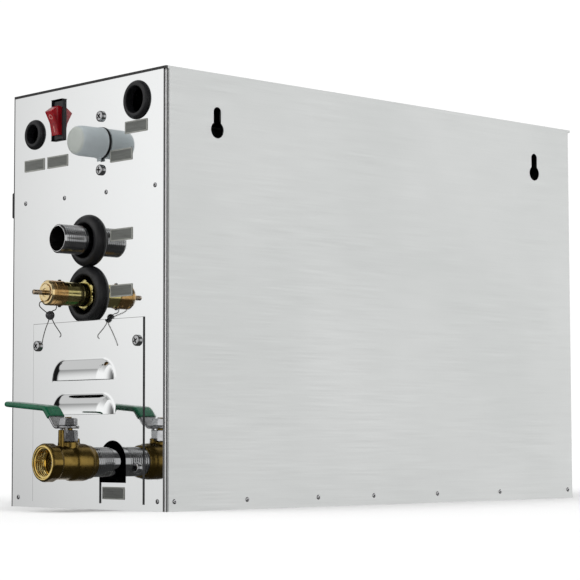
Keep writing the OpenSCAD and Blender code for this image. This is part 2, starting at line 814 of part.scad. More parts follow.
// Power switch
module switch_blades() for (k = [-1:1]) box(end_x - housing_depth - terminal_l,
    end_x - housing_depth + housing_floor, switch_y - terminal_t / 2, switch_y + terminal_t / 2,
    switch_z + k * terminal_gap - terminal_w / 2, switch_z + k * terminal_gap + terminal_w / 2);
module switch_housing() color(black_c) difference() {
    union() {
        along_x(end_x, end_x + bezel_t) translate([switch_y, switch_z]) rounded(bezel_w, bezel_h, bezel_round);
        box(end_x - housing_depth, end_x, switch_y - housing_w / 2, switch_y + housing_w / 2,
            switch_z - housing_h / 2, switch_z + housing_h / 2);
    }
    box(end_x - housing_depth + housing_floor, end_x + bezel_t + cut, switch_y - housing_in_w / 2,
        switch_y + housing_in_w / 2, switch_z - housing_in_h / 2, switch_z + housing_in_h / 2);
    translate([end_x - pivot_depth, switch_y, switch_z]) rotate([90, 0, 0])
        cylinder(h = housing_w + 2 * cut, r = pivot_r + run_fit, center = true, $fn = mid);
    switch_blades();
}
module switch_terminals() color(chrome_c) switch_blades();

rocker_tip = rocker_tip_r * [sin(rocker_tip_a), cos(rocker_tip_a)];
rocker_back = rocker_tip_r * rocker_back_shares;
module switch_rocker() color(red_c) translate([end_x - pivot_depth, switch_y, switch_z])
    rotate([0, rocker_swing / 2, 0]) rotate([90, 0, 0]) {
        linear_extrude(rocker_w, center = true) polygon([[rocker_valley, 0], rocker_tip, rocker_back[0],
            rocker_back[1], rocker_back[2], [rocker_back[1].x, -rocker_back[1].y],
            [rocker_back[0].x, -rocker_back[0].y], [rocker_tip.x, -rocker_tip.y]]);
        cylinder(h = housing_w - gap, r = pivot_r, center = true, $fn = mid);
    }

// Water inlet valve, with its coil, plunger and spring
spout_at = end_x - spout_x;
seat_z = inlet_z - chamber_floor;
chamber_top = inlet_z + inlet_body_r - chamber_roof;
armature_top = inlet_z + inlet_body_r + armature_l;
module upright(z0, z1, r, n = mid) translate([0, 0, z0]) cylinder(h = z1 - z0, r = r, $fn = n);
module at_spout() translate([spout_at, inlet_y, 0]) children();
module inlet_valve_body() color(white_c) difference() {
    union() {
        on_end(inlet_y, inlet_z, -inlet_body_l)
            cylinder(h = inlet_body_l - sheet_t - inlet_plate_t, r = inlet_body_r, $fn = fine);
        on_end(inlet_y, inlet_z, -sheet_t - inlet_plate_t)
            cylinder(h = inlet_plate_t + sheet_t + spigot_l, r = spigot_r, $fn = fine);
        box(wall_x - inlet_plate_t, wall_x, inlet_y - inlet_plate_w / 2, inlet_y + inlet_plate_w / 2,
            inlet_z - inlet_screw_rise - inlet_plate_end, inlet_z + inlet_screw_rise + inlet_plate_end);
        at_spout() upright(inlet_z - inlet_body_r - spout_l, inlet_z, spout_r);
        at_spout() upright(inlet_z, armature_top, armature_r);
    }
    on_end(inlet_y, inlet_z, -spout_x + chamber_r - chamber_floor)
        cylinder(h = spout_x - chamber_r + chamber_floor + spigot_l + cut, r = inlet_bore_r, $fn = fine);
    at_spout() upright(seat_z, chamber_top, chamber_r);
    at_spout() upright(inlet_z, armature_top - armature_wall, armature_r - armature_wall);
    at_spout() upright(inlet_z - inlet_body_r - spout_l - cut, inlet_z, spout_bore_r);
    inlet_screw_holes(screw_l);
}
module inlet_valve_screws() color(chrome_c) inlet_screw_places() screw(screw_head_r, screw_head_h, screw_r, screw_l);
module inlet_valve_coil() color(black_c) at_spout() translate([0, 0, inlet_z + inlet_body_r]) difference() {
    linear_extrude(coil_h) rounded(coil_w, coil_d, coil_edge_r);
    upright(-cut, coil_h + cut, armature_r + run_fit);
}
module inlet_plunger() color(chrome_c) at_spout() upright(seat_z, seat_z + plunger_l, plunger_r);
module inlet_plunger_spring() color(chrome_c) at_spout() translate([0, 0, seat_z + plunger_l])
    spring(plunger_coil_r, plunger_wire_r, armature_top - armature_wall - seat_z - plunger_l, 7);
module inlet_strainer() color(chrome_c) on_end(inlet_y, inlet_z, spigot_l - strainer_l) difference() {
    cylinder(h = strainer_l, r = strainer_r - run_fit, $fn = fine);
    translate([0, 0, strainer_wall]) cylinder(h = strainer_l, r = strainer_r - strainer_wall, $fn = fine);
    for (a = [0:60:300]) rotate(a) translate([strainer_ring_r, 0, -cut])
        cylinder(h = strainer_wall + 2 * cut, r = strainer_hole_r, $fn = small);
    translate([0, 0, -cut]) cylinder(h = strainer_wall + 2 * cut, r = strainer_hole_r, $fn = small);
}
module inlet_root_ring() color(black_c) on_end(inlet_y, inlet_z)
    ring(root_ring_r, spigot_r + run_fit, cap_seat - run_fit);

// Half outline of a cap with a round nose
module nose_outline(r, z0, z1, nose_r) {
    translate([0, z0]) square([r - nose_r, z1 - z0]);
    translate([0, z0]) square([r, z1 - nose_r - z0]);
    intersection() {
        translate([r - nose_r, z1 - nose_r]) circle(nose_r, $fn = mid);
        translate([0, z0]) square([r, z1 - z0]);
    }
}
module inlet_transport_cap() color(grey_c) {
    nose_r = cap_reach * (1 - cap_nose_share);
    difference() {
        union() {
            on_end(inlet_y, inlet_z) rotate_extrude($fn = fine) {
                nose_outline(cap_r, cap_seat, cap_reach, nose_r);
                translate([0, cap_seat]) square([cap_r + cap_bead_r, cap_bead_h]);
            }
            box(end_x + cap_seat, end_x + cap_seat + cap_bead_h, inlet_y - cap_tab_w / 2, inlet_y + cap_tab_w / 2,
                inlet_z - cap_r - cap_tab_l, inlet_z - spigot_r);
        }
        on_end(inlet_y, inlet_z) rotate_extrude($fn = fine)
            nose_outline(cap_r - cap_wall, -cut, cap_reach - cap_wall, nose_r - cap_wall);
    }
}

// Hose from the inlet valve's spout down to the tank's port
hose_r = spout_r + hose_wall;
hose_top = inlet_z - inlet_body_r - hose_end;
module feed_hose() color(black_c) at_spout() difference() {
    upright(tank_top + hose_end, hose_top, hose_r);
    upright(tank_top, hose_top + cut, spout_r + run_fit);
}
module hose_clips() color(chrome_c) at_spout()
    for (z = [tank_top + hose_end + clip_at, hose_top - clip_at - clip_w])
        translate([0, 0, z]) ring(hose_r + clip_t, hose_r + run_fit, clip_w, mid);

// Steam outlet
pipe_in = tank_front_gap + tank_t;
module nipple(reach, bevel) difference() {
    union() {
        translate([0, 0, -pipe_in]) cylinder(h = pipe_in + thread_start, r = pipe_plain_r, $fn = fine);
        translate([0, 0, thread_start]) cylinder(h = reach - thread_start, r = pipe_r, $fn = fine);
    }
    translate([0, 0, -pipe_in - cut]) cylinder(h = pipe_in + reach + 2 * cut, r = pipe_bore_r, $fn = fine);
    translate([0, 0, reach - bevel])
        cylinder(h = bevel + cut, r1 = pipe_bore_r, r2 = pipe_bore_r + bevel + cut, $fn = fine);
}
module steam_outlet_nipple() color(chrome_c) on_end(steam_y, steam_z) nipple(steam_reach, pipe_bevel);

// Safety valve
safety_neck_r = bonnet_r - bonnet_wall;
module safety_valve_body() color(olive_c) on_end(safety_y, safety_z) difference() {
    union() {
        translate([0, 0, -pipe_in]) cylinder(h = pipe_in + hex_reach, r = valve_tail_r, $fn = fine);
        translate([0, 0, hex_reach]) rotate(30) hexagon(hex_corner_r, hex_l);
        upright(hex_reach, safety_body_reach, safety_body_r, fine);
        upright(hex_reach, safety_body_reach + bonnet_step, safety_neck_r, fine);
    }
    upright(-pipe_in - cut, seat_reach + cut, orifice_r);
    upright(seat_reach, safety_body_reach + bonnet_step + cut, chamber_in_r, fine);
    translate([0, 0, vent_reach]) rotate([90, 0, 0]) cylinder(h = bonnet_r + cut, r = vent_hole_r, $fn = mid);
}
module safety_valve_bonnet() color(brass_c) on_end(safety_y, safety_z) difference() {
    face = bonnet_reach - bonnet_boss_h;
    union() {
        upright(safety_body_reach, face - bonnet_bevel, bonnet_r, fine);
        translate([0, 0, face - bonnet_bevel])
            cylinder(h = bonnet_bevel, r1 = bonnet_r, r2 = bonnet_r - bonnet_bevel, $fn = fine);
        upright(safety_body_reach, bonnet_reach, bonnet_boss_r, fine);
        for (s = [-1, 1]) translate([0, 0, pin_reach]) rotate([0, s * 90, 0])
            upright(bonnet_r - bonnet_wall / 2, bonnet_r + pin_stand, pin_r);
    }
    upright(safety_body_reach - cut, safety_body_reach + bonnet_step, safety_neck_r + run_fit, fine);
    upright(safety_body_reach, face - bonnet_floor, chamber_in_r, fine);
    upright(safety_body_reach, bonnet_reach + cut, safety_stem_r + run_fit);
    rotate(-wire_hole_a) translate([wire_hole_ring_r, 0, 0]) upright(face - wire_hole_in, face + cut, wire_hole_r);
    translate([0, 0, wire_rear[0].x]) rotate([0, 90, 0])
        upright(chamber_in_r + gap, bonnet_r + cut, wire_hole_r);
}
module safety_valve_stem() color(brass_c) on_end(safety_y, safety_z) {
    upright(seat_reach, seat_reach + disc_t, disc_r, fine);
    upright(seat_reach, safety_stem_reach, safety_stem_r);
}
module safety_valve_spring() color(chrome_c) on_end(safety_y, safety_z) translate([0, 0, seat_reach + disc_t])
    spring(spring_coil_r, spring_wire_r, bonnet_reach - bonnet_boss_h - bonnet_floor - seat_reach - disc_t, 7);

// Sealing wire and its lead seal
module seal_wire_front() color(brass_c) translate([end_x, 0, safety_z]) tube(wire_front, wire_d / 2, wire_sides);
module seal_wire_rear() color(brass_c) translate([end_x, 0, safety_z]) tube(wire_rear, wire_d / 2, wire_sides);
module lead_seal() color(chrome_c) translate([end_x, 0, safety_z] + seal_at) rotate([0, 90, 45])
    translate([0, 0, -seal_t / 2]) cylinder(h = seal_t, r = seal_r, $fn = mid);

// Drain line and its ball valve, drawn about the crossing of the pipe's axis and the stem's axis
module at_stem() translate([end_x + valve_stem_reach, drain_y, drain_z]) children();
module level(x0, x1, r, n = fine) translate([x0, 0, 0]) rotate([0, 90, 0]) cylinder(h = x1 - x0, r = r, $fn = n);
module drain_nipple() color(chrome_c) on_end(drain_y, drain_z)
    nipple(valve_stem_reach + valve_in + socket_depth, pipe_bevel);

seat_in = 5.5;
seat_end = seat_in + seat_t;
foot_top = 10;
collar_l = valve_out - valve_neck_out;
turn_l = valve_neck_in - valve_in;
module drain_valve_body() color(olive_c) at_stem() difference() {
    union() {
        translate([valve_in, 0, 0]) rotate([0, 90, 0]) rotate_extrude($fn = fine) polygon([[0, 0],
            [valve_turn_r - valve_bevel, 0], [valve_turn_r, valve_bevel], [valve_turn_r, turn_l - collar_bevel],
            [valve_turn_r - collar_bevel, turn_l], [0, turn_l]]);
        level(valve_in + valve_bevel, valve_out, valve_neck_r);
        translate([valve_neck_out, 0, 0]) rotate([0, 90, 0]) intersection() {
            rotate(22.5) cylinder(h = collar_l, r = valve_flats / 2 / cos(22.5), $fn = 8);
            rotate_extrude($fn = fine) polygon([[0, 0], [collar_r - collar_bevel, 0], [collar_r, collar_bevel],
                [collar_r, collar_l - collar_bevel], [collar_r - collar_bevel, collar_l], [0, collar_l]]);
        }
        upright(0, boss_top, boss_r);
        rotate(post_a) translate([post_ring_r, 0, 0]) upright(0, post_top, post_r);
        translate([-lug_ring_r, 0, 0]) upright(0, lug_top, lug_r);
    }
    level(valve_in - cut, valve_in + socket_depth, pipe_r + run_fit);
    level(valve_in, -seat_end, pipe_bore_r);
    level(-seat_end, valve_neck_out, chamber_bore_r);
    level(valve_neck_out, valve_neck_out + relief_l, outlet_r + relief_d);
    level(valve_neck_out, valve_out + cut, outlet_r);
    upright(0, foot_top + run_fit, stem_foot_r + run_fit);
    upright(0, boss_top, stem_r + run_fit);
    upright(boss_top - gland_in, boss_top + cut, gland_r + run_fit);
}
module drain_valve_seats() color(white_c) at_stem() difference() {
    for (s = [0, 1]) mirror([s, 0, 0]) level(seat_in, seat_end, seat_r);
    level(-seat_end - cut, seat_end + cut, seat_bore_r);
    sphere(ball_r + run_fit, $fn = fine);
}
module seat_retainer() color(olive_c) at_stem() difference() {
    level(seat_end, valve_neck_out - gap, seat_r);
    level(seat_in, valve_out, pipe_bore_r);
}
module drain_valve_ball() color(chrome_c) at_stem() difference() {
    sphere(ball_r, $fn = fine);
    rotate([90, 0, 0]) cylinder(h = 2 * ball_r + 2 * cut, r = ball_bore_r, center = true, $fn = fine);
    box(-slot_w / 2, slot_w / 2, -ball_r - cut, ball_r + cut, ball_r - slot_d, ball_r + cut);
}

// The stem's shaft, with two flats where the lever sits
module stem_shaft(r, flats, z0, z1) intersection() {
    upright(z0, z1, r);
    box(-r, r, -flats / 2, flats / 2, z0, z1);
}
module drain_valve_stem() color(olive_c) at_stem() {
    box(-slot_w / 2 + run_fit, slot_w / 2 - run_fit, -stem_foot_r + gap, stem_foot_r - gap,
        ball_r - slot_d + run_fit, foot_top);
    upright(foot_top - stem_foot_t, foot_top, stem_foot_r);
    upright(foot_top - stem_foot_t, hub_z, stem_r);
    stem_shaft(stem_r, stem_flats, foot_top, hub_z + lever_t);
    upright(hub_z + lever_t, stem_top, stem_flats / 2);
}
module drain_gland_nut() color(chrome_c) at_stem() difference() {
    union() {
        upright(boss_top - gland_in, boss_top, gland_r);
        translate([0, 0, boss_top]) rotate(30) hexagon(gland_corner_r, gland_top - boss_top);
    }
    upright(0, gland_top + cut, stem_r + run_fit);
}

// Lever: distance from the stem and height above the pipe's axis, along the underside of the plate
function across(d) = [-d.y, d.x];
function mitre(a, b) = (across(a) + across(b)) / (1 + across(a) * across(b));
knee = [bend_y + slope_run, hub_z + slope_rise];
lever_end = [lever_l, knee.y + (lever_l - knee.x) * tan(handle_rise_a)];
flat_d = [1, 0];
slope_d = unit([slope_run, slope_rise]);
handle_d = [cos(handle_rise_a), sin(handle_rise_a)];
sleeve_start = [bend_y, hub_z] + sleeve_start_share * [slope_run, slope_rise];
lever_route = [[-hub_r, hub_z], [bend_y, hub_z], knee, lever_end];
lever_mitres = [across(flat_d), mitre(flat_d, slope_d), mitre(slope_d, handle_d), across(handle_d)];
sleeve_route = [sleeve_start, knee, lever_end + sleeve_t * handle_d];
sleeve_mitres = [across(slope_d), mitre(slope_d, handle_d), across(handle_d)];
// A strip that follows a route between two offsets, with its width across the lever
module strip(route, mitres, t0, t1, w) rotate([90, 0, -90]) linear_extrude(w, center = true) polygon(concat(
    [for (i = [0:len(route) - 1]) route[i] + t0 * mitres[i]],
    [for (i = [len(route) - 1:-1:0]) route[i] + t1 * mitres[i]]));
module plan_outline(w, y_end) {
    translate([0, -y_end + w / 2]) circle(w / 2, $fn = mid);
    translate([-w / 2, -y_end + w / 2]) square([w, y_end - w / 2]);
}
module ear(a) rotate(a) {
    box(stem_r + ear_t, ear_in + ear_t, -ear_t / 2, ear_t / 2, hub_z, hub_z + lever_t);
    box(ear_in, ear_in + ear_t, -ear_t / 2, ear_t / 2, hub_z - ear_drop, hub_z + lever_t);
}
module lever_solid() {
    intersection() {
        strip(lever_route, lever_mitres, 0, lever_t, 2 * hub_r);
        linear_extrude(body_h) union() {
            circle(hub_r, $fn = mid);
            plan_outline(lever_w, lever_l);
        }
    }
    ear(post_a + ear_turn_a);
    ear(post_a - ear_turn_a - 90);
}
module lever_plate() color(steel_c) at_stem() difference() {
    lever_solid();
    stem_shaft(stem_r, stem_flats, hub_z - cut, hub_z + lever_t + cut);
}
module lever_sleeve() color(green_c) at_stem() difference() {
    intersection() {
        strip(sleeve_route, sleeve_mitres, -sleeve_t, lever_t + sleeve_t, lever_w + 2 * sleeve_t);
        linear_extrude(body_h) plan_outline(lever_w + 2 * sleeve_t, lever_l + sleeve_t);
    }
    lever_solid();
}
module lever_nut() color(black_c) at_stem() translate([0, 0, hub_z + lever_t]) difference() {
    rotate(30) hexagon(nut_flats / 2 / cos(30), nut_t);
    upright(-cut, nut_t + cut, stem_flats / 2 + run_fit);
}

// Boiler
tank_h = tank_top - tank_z;
tank_mid = tank_z + tank_h / 2;
module port_hole(y, z, r) on_end(y, z, -pipe_in - cut) cylinder(h = pipe_in, r = r + run_fit, $fn = fine);
module port_boss(y, z, r) on_end(y, z, -tank_front_gap - tank_t / 2)
    cylinder(h = socket_l + tank_t / 2, r = r + socket_wall, $fn = fine);
module at_probe() translate([probe_x, probe_y, tank_top]) children();
module heater_places() for (z = element_zs, s = [-1, 1]) translate([0, s * element_loop_r, heater_z + z]) children();
module boiler_tank() color(steel_c) difference() {
    union() {
        difference() {
            along_x(tank_x0, tank_x1) translate([0, tank_mid]) rounded(tank_w, tank_h, tank_edge_r);
            along_x(tank_x0 + tank_t, tank_x1 - tank_t) translate([0, tank_mid])
                rounded(tank_w - 2 * tank_t, tank_h - 2 * tank_t, tank_edge_r - tank_t);
        }
        port_boss(steam_y, steam_z, pipe_plain_r);
        port_boss(safety_y, safety_z, valve_tail_r);
        port_boss(drain_y, drain_z, pipe_plain_r);
        at_spout() upright(tank_top - tank_t, tank_top + port_l, spout_r);
    }
    port_hole(steam_y, steam_z, pipe_plain_r);
    port_hole(safety_y, safety_z, valve_tail_r);
    port_hole(drain_y, drain_z, pipe_plain_r);
    at_spout() upright(tank_top - tank_t - cut, tank_top + port_l + cut, port_bore_r);
    at_probe() upright(-tank_t - cut, cut, probe_hole_r);
    translate([0, 0, heater_z]) level(tank_x0 - cut, tank_x0 + tank_t + cut, heater_hole_r);
}
bracket_y = tank_w / 2 - tank_edge_r;
module tank_brackets() color(steel_c) for (s = [-1, 1])
    translate([s * bracket_in_share * body_l, 0, 0]) for (t = [0, 1]) mirror([0, t, 0]) {
        box(-bracket_w / 2, bracket_w / 2, 0, bracket_y, tank_z - 2 * sheet_t, tank_z);
        box(-bracket_w / 2, bracket_w / 2, bracket_y - 2 * sheet_t, bracket_y, sheet_t, tank_z);
        box(-bracket_w / 2, bracket_w / 2, bracket_y - 2 * sheet_t, bracket_y + flange_w, sheet_t, 3 * sheet_t);
    }
module heater_flange() color(steel_c) difference() {
    translate([0, 0, heater_z]) level(tank_x0 - heater_flange_t, tank_x0, heater_flange_r);
    heater_places() level(tank_x0 - heater_flange_t - cut, tank_x0 + cut, element_r + run_fit);
}
element_x = tank_x1 - element_in;
module heating_elements() color(chrome_c) {
    heater_places() level(tank_x0 - heater_flange_t - element_stub / 2, element_x, element_r);
    heater_places() level(tank_x0 - heater_flange_t - element_stub, element_x, element_r / 2);
    for (z = element_zs) translate([element_x, 0, heater_z + z]) intersection() {
        rotate_extrude($fn = fine) translate([element_loop_r, 0]) circle(element_r, $fn = mid);
        box(0, element_loop_r + element_r + cut, -element_loop_r - element_r - cut,
            element_loop_r + element_r + cut, -element_r - cut, element_r + cut);
    }
}
module heater_nuts() color(chrome_c) {
    heater_places() translate([tank_x0 - heater_flange_t - element_stub / 2 - heater_nut_t, 0, 0])
        rotate([0, 90, 0]) difference() {
            hexagon(heater_nut_r, heater_nut_t);
            upright(-cut, heater_nut_t + cut, element_r / 2 + run_fit, small);
        }
    for (a = [30:60:330]) translate([tank_x0 - heater_flange_t - flange_bolt_head_h, flange_bolt_r * cos(a),
        heater_z + flange_bolt_r * sin(a)]) rotate([0, 90, 0]) hexagon(flange_bolt_head_r, flange_bolt_head_h);
}
module level_probe() color(white_c) at_probe() {
    hexagon(probe_head_r, probe_head_h);
    upright(-tank_t, probe_head_h, probe_hole_r - run_fit);
    for (k = [-1:1]) translate([k * probe_rod_pitch, 0, 0])
        upright(-probe_rod_ls[k + 1], probe_head_h + probe_stud, probe_rod_r, small);
}
module overheat_thermostat() color(black_c) translate([thermostat_x, 0, tank_top]) {
    upright(0, thermostat_h, thermostat_r);
    box(-thermostat_ear_l / 2, thermostat_ear_l / 2, -thermostat_r / 2, thermostat_r / 2, 0, thermostat_ear_t);
    for (s = [-1, 1]) translate([s * thermostat_r / 2, 0, 0])
        box(-terminal_t / 2, terminal_t / 2, -terminal_w / 2, terminal_w / 2, 0, thermostat_h + terminal_l);
}

// Electrical parts on the shelf
board_z = shelf_z + standoff_h;
module at_board(x_share, y_share) translate([board_x + x_share * board_l / 2, board_y + y_share * board_w / 2,
    board_z + board_t]) children();
module at_board_corners() for (sx = [-1, 1], sy = [-1, 1])
    translate([board_x + sx * (board_l / 2 - board_in), board_y + sy * (board_w / 2 - board_in), 0]) children();
module control_board() color(board_c) difference() {
    box(board_x - board_l / 2, board_x + board_l / 2, board_y - board_w / 2, board_y + board_w / 2,
        board_z, board_z + board_t);
    at_board_corners() upright(board_z - cut, board_z + board_t + cut, screw_r, small);
}
// Parts on the board: shares of its half length and half width, then of its length, width and tallest part
tallest_part = 24;
part_block_shares = [[-0.62, 0.5, 0.246, 0.293, 1], [0.2, 0.82, 0.46, 0.087, 0.5], [0.35, -0.8, 0.34, 0.098, 0.458],
    [-0.1, -0.05, 0.138, 0.196, 0.125], [0.6, 0.1, 0.154, 0.109, 0.625], [0.6, 0.42, 0.154, 0.109, 0.625],
    [-0.8, -0.75, 0.108, 0.13, 0.375]];
// Capacitors: shares of the half length and half width, then of the width and the tallest part
part_can_shares = [[-0.2, 0.45, 0.054, 0.667], [0, 0.45, 0.054, 0.667], [-0.62, -0.2, 0.07, 0.833],
    [0.3, -0.4, 0.033, 0.375]];
module part_block(l, w, h) box(-l / 2, l / 2, -w / 2, w / 2, 0, h);
module board_parts() color(white_c) {
    for (p = part_block_shares) at_board(p[0], p[1])
        part_block(p[2] * board_l, p[3] * board_w, p[4] * tallest_part);
    for (p = part_can_shares) at_board(p[0], p[1]) upright(0, p[3] * tallest_part, p[2] * board_w, small);
    at_board_corners() upright(shelf_z, board_z, standoff_r, small);
}
module power_relays() color(black_c) for (k = [0, 1]) translate([relay_x, k * relay_pitch - relay_w / 2, shelf_z]) {
    box(-relay_l / 2, relay_l / 2, -relay_w / 2, relay_w / 2, 0, relay_h);
    for (s = [-1, 1]) box(s * relay_l / 3 - terminal_w / 2, s * relay_l / 3 + terminal_w / 2,
        -terminal_t / 2, terminal_t / 2, relay_h - terminal_t, relay_h + terminal_l);
}
module terminal_block() color(white_c) translate([block_x, block_y, shelf_z]) difference() {
    box(-block_l / 2, block_l / 2, -block_w / 2, block_w / 2, 0, block_h);
    for (k = [0.5:block_ways - 0.5]) translate([-block_l / 2 + k * block_l / block_ways, 0, 0]) {
        for (s = [-1, 1]) translate([0, s * block_w / 4, 0])
            upright(block_h / 2, block_h + cut, block_screw_r, small);
        translate([0, 0, block_h / 4]) rotate([90, 0, 0])
            cylinder(h = block_w + 2 * cut, r = block_screw_r / 2, center = true, $fn = small);
    }
}

base_tray();
back_panel();
connection_panel();
far_end_panel();
top_cover();
front_cover();
front_cover_pull();
inner_shelf();
access_panel();
casing_rivets();
cover_screws();
access_panel_screws();
name_plates();
control_cable_grommet();
power_cable_grommet();
steam_pipe_grommet();
safety_valve_grommet();
switch_housing();
switch_rocker();
switch_terminals();
inlet_valve_body();
inlet_valve_screws();
inlet_valve_coil();
inlet_plunger();
inlet_plunger_spring();
inlet_strainer();
inlet_root_ring();
inlet_transport_cap();
feed_hose();
hose_clips();
steam_outlet_nipple();
safety_valve_body();
safety_valve_bonnet();
safety_valve_stem();
safety_valve_spring();
seal_wire_front();
seal_wire_rear();
lead_seal();
drain_nipple();
drain_valve_body();
drain_valve_seats();
seat_retainer();
drain_valve_ball();
drain_valve_stem();
drain_gland_nut();
lever_plate();
lever_sleeve();
lever_nut();
boiler_tank();
tank_brackets();
heater_flange();
heating_elements();
heater_nuts();
level_probe();
overheat_thermostat();
control_board();
board_parts();
power_relays();
terminal_block();
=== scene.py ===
# %% [markdown]
# # Dressing a sauna steam generator
# The CAD model already holds every piece of the steam generator at its real size. This lesson
# dresses it: it sets up the camera and a studio, gives each piece its finish, and remakes the
# pieces whose threads, recesses and soft edges the CAD solids leave out.

# %% Load the CAD frame
import math
import bmesh
import bpy
from mathutils import Matrix, Vector


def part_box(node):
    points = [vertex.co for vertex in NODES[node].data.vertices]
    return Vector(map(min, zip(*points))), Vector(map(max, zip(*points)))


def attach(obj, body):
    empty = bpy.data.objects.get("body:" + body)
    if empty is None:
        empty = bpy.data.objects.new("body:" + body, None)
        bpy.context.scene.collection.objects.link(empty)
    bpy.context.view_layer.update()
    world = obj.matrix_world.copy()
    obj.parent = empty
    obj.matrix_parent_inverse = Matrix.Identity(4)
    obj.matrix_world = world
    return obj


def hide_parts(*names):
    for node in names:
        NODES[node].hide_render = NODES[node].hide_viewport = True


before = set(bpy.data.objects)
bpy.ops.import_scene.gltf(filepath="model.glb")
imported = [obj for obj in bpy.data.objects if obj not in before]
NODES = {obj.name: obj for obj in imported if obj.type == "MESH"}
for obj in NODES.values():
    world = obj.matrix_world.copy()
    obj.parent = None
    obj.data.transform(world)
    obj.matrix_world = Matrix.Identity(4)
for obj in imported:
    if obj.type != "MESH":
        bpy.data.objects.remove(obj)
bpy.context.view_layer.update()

# %% [markdown]
# Blender works in metres, while a fitter thinks in millimetres. Sizes and places below are in
# millimetres, and only the helpers multiply them by MM. A place on the connection end is given
# as (across, up), and a reach is measured out of that panel, so the plane of the panel and its
# edge are read from the panel itself.

# %% Units and places on the connection end
MM = 0.001
END, EDGE = (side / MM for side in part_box("connection_panel")[1].xy)
INLET, STEAM, SAFETY, DRAIN = (17, 263), (2.4, 193.2), (2.6, 153.9), (34.8, 34)
SWITCH = (-33.7, 285.7)
STEM_REACH = 41.5
print("connection end at x =", round(END, 2), "mm")

# %% [markdown]
# ## Camera
# The camera stands low, in front of the corner between the back and the connection end, as the
# photographer's did. Its place and its three directions were worked out from points of the
# object whose places are known, so the render lines up with the photograph.

# %% Camera
EYE = Vector((1.110563, 1.156242, 0.05074))
IMAGE_RIGHT = Vector((-0.72742504, 0.68618193, -0.00267972))
IMAGE_DOWN = Vector((-0.04834589, -0.05514649, -0.99730714))
LOOK = Vector((-0.68448191, -0.72533663, 0.07328902))
FOCAL_PIXELS, PHOTO_PIXELS = 2009.16, 580

camera_data = bpy.data.cameras.new("studio_camera")
camera_data.sensor_width = 36
camera_data.lens = FOCAL_PIXELS / PHOTO_PIXELS * camera_data.sensor_width
camera_data.clip_start, camera_data.clip_end = 0.01, 30
camera = bpy.data.objects.new("studio_camera", camera_data)
bpy.context.scene.collection.objects.link(camera)
turn = Matrix((IMAGE_RIGHT, -IMAGE_DOWN, -LOOK)).transposed().to_4x4()
camera.matrix_world = Matrix.Translation(EYE) @ turn
bpy.context.scene.camera = camera
print("lens", round(camera_data.lens, 1), "mm")

# %% [markdown]
# ## Procedural finishes
# A finish here is a small node tree. Two helpers add a node and connect it. A third makes the
# grain that all marks start from: a noise pattern in the object's own coordinates, so it keeps
# its place on the metal. Stretched in one direction, it becomes the fine lines of rolling.

# %% Helpers that add nodes and a grain
def node(finish, kind, **sockets):
    made = finish.node_tree.nodes.new("ShaderNode" + kind)
    for name, value in sockets.items():
        made.inputs[name.replace("_", " ")].default_value = value
    return made


def connect(finish, output, socket):
    finish.node_tree.links.new(output, socket)


def grain(finish, scale, stretch=(1, 1, 1), detail=4):
    size = node(finish, "Mapping", Scale=[scale * s for s in stretch])
    cloud = node(finish, "TexNoise", Scale=1, Detail=detail)
    connect(finish, node(finish, "TexCoord").outputs["Object"], size.inputs["Vector"])
    connect(finish, size.outputs["Vector"], cloud.inputs["Vector"])
    return cloud.outputs["Fac"]


# %% [markdown]
# Metals differ in colour, in how rough they are, and in the marks that rolling, casting, turning
# or polishing leaves. So a finish mixes two near shades by one grain, spreads its roughness over
# a narrow range by a second, and may tilt the surface by a few hundredths of a millimetre with a
# third. What is the same all over sits on the shader's own socket, and the middle value of
# what varies is left there too, for viewers that read no nodes.

# %% Helper that makes a finish
def finish_of(name, metal, shades, rough, bump=None):
    """shades: dark, light and a grain, or one colour; rough: low, high and a grain, or one
    value; bump: height in mm, strength and a grain."""
    made = bpy.data.materials.new(name)
    made.use_nodes = True
    shader = made.node_tree.nodes["Principled BSDF"]
    shader.inputs["Metallic"].default_value = metal
    middle = [sum(part) / len(part) for part in zip(*shades[:2])]
    shader.inputs["Base Color"].default_value = (*middle, 1)
    shader.inputs["Roughness"].default_value = sum(rough[:2]) / len(rough[:2])
    if len(shades) > 1:
        ramp = node(made, "ValToRGB")
        for stop, place, shade in zip(ramp.color_ramp.elements, (0.35, 0.65), shades):
            stop.position, stop.color = place, (*shade, 1)
        connect(made, grain(made, *shades[2:]), ramp.inputs["Fac"])
        connect(made, ramp.outputs["Color"], shader.inputs["Base Color"])
    if len(rough) > 1:
        low, high = rough[:2]
        spread = node(made, "MapRange", From_Min=0.3, From_Max=0.7, To_Min=low, To_Max=high)
        connect(made, grain(made, *rough[2:]), spread.inputs["Value"])
        connect(made, spread.outputs["Result"], shader.inputs["Roughness"])
    if bump:
        tilt = node(made, "Bump", Distance=bump[0] * MM, Strength=bump[1])
        connect(made, grain(made, *bump[2:]), tilt.inputs["Height"])
        connect(made, tilt.outputs["Normal"], shader.inputs["Normal"])
    return made
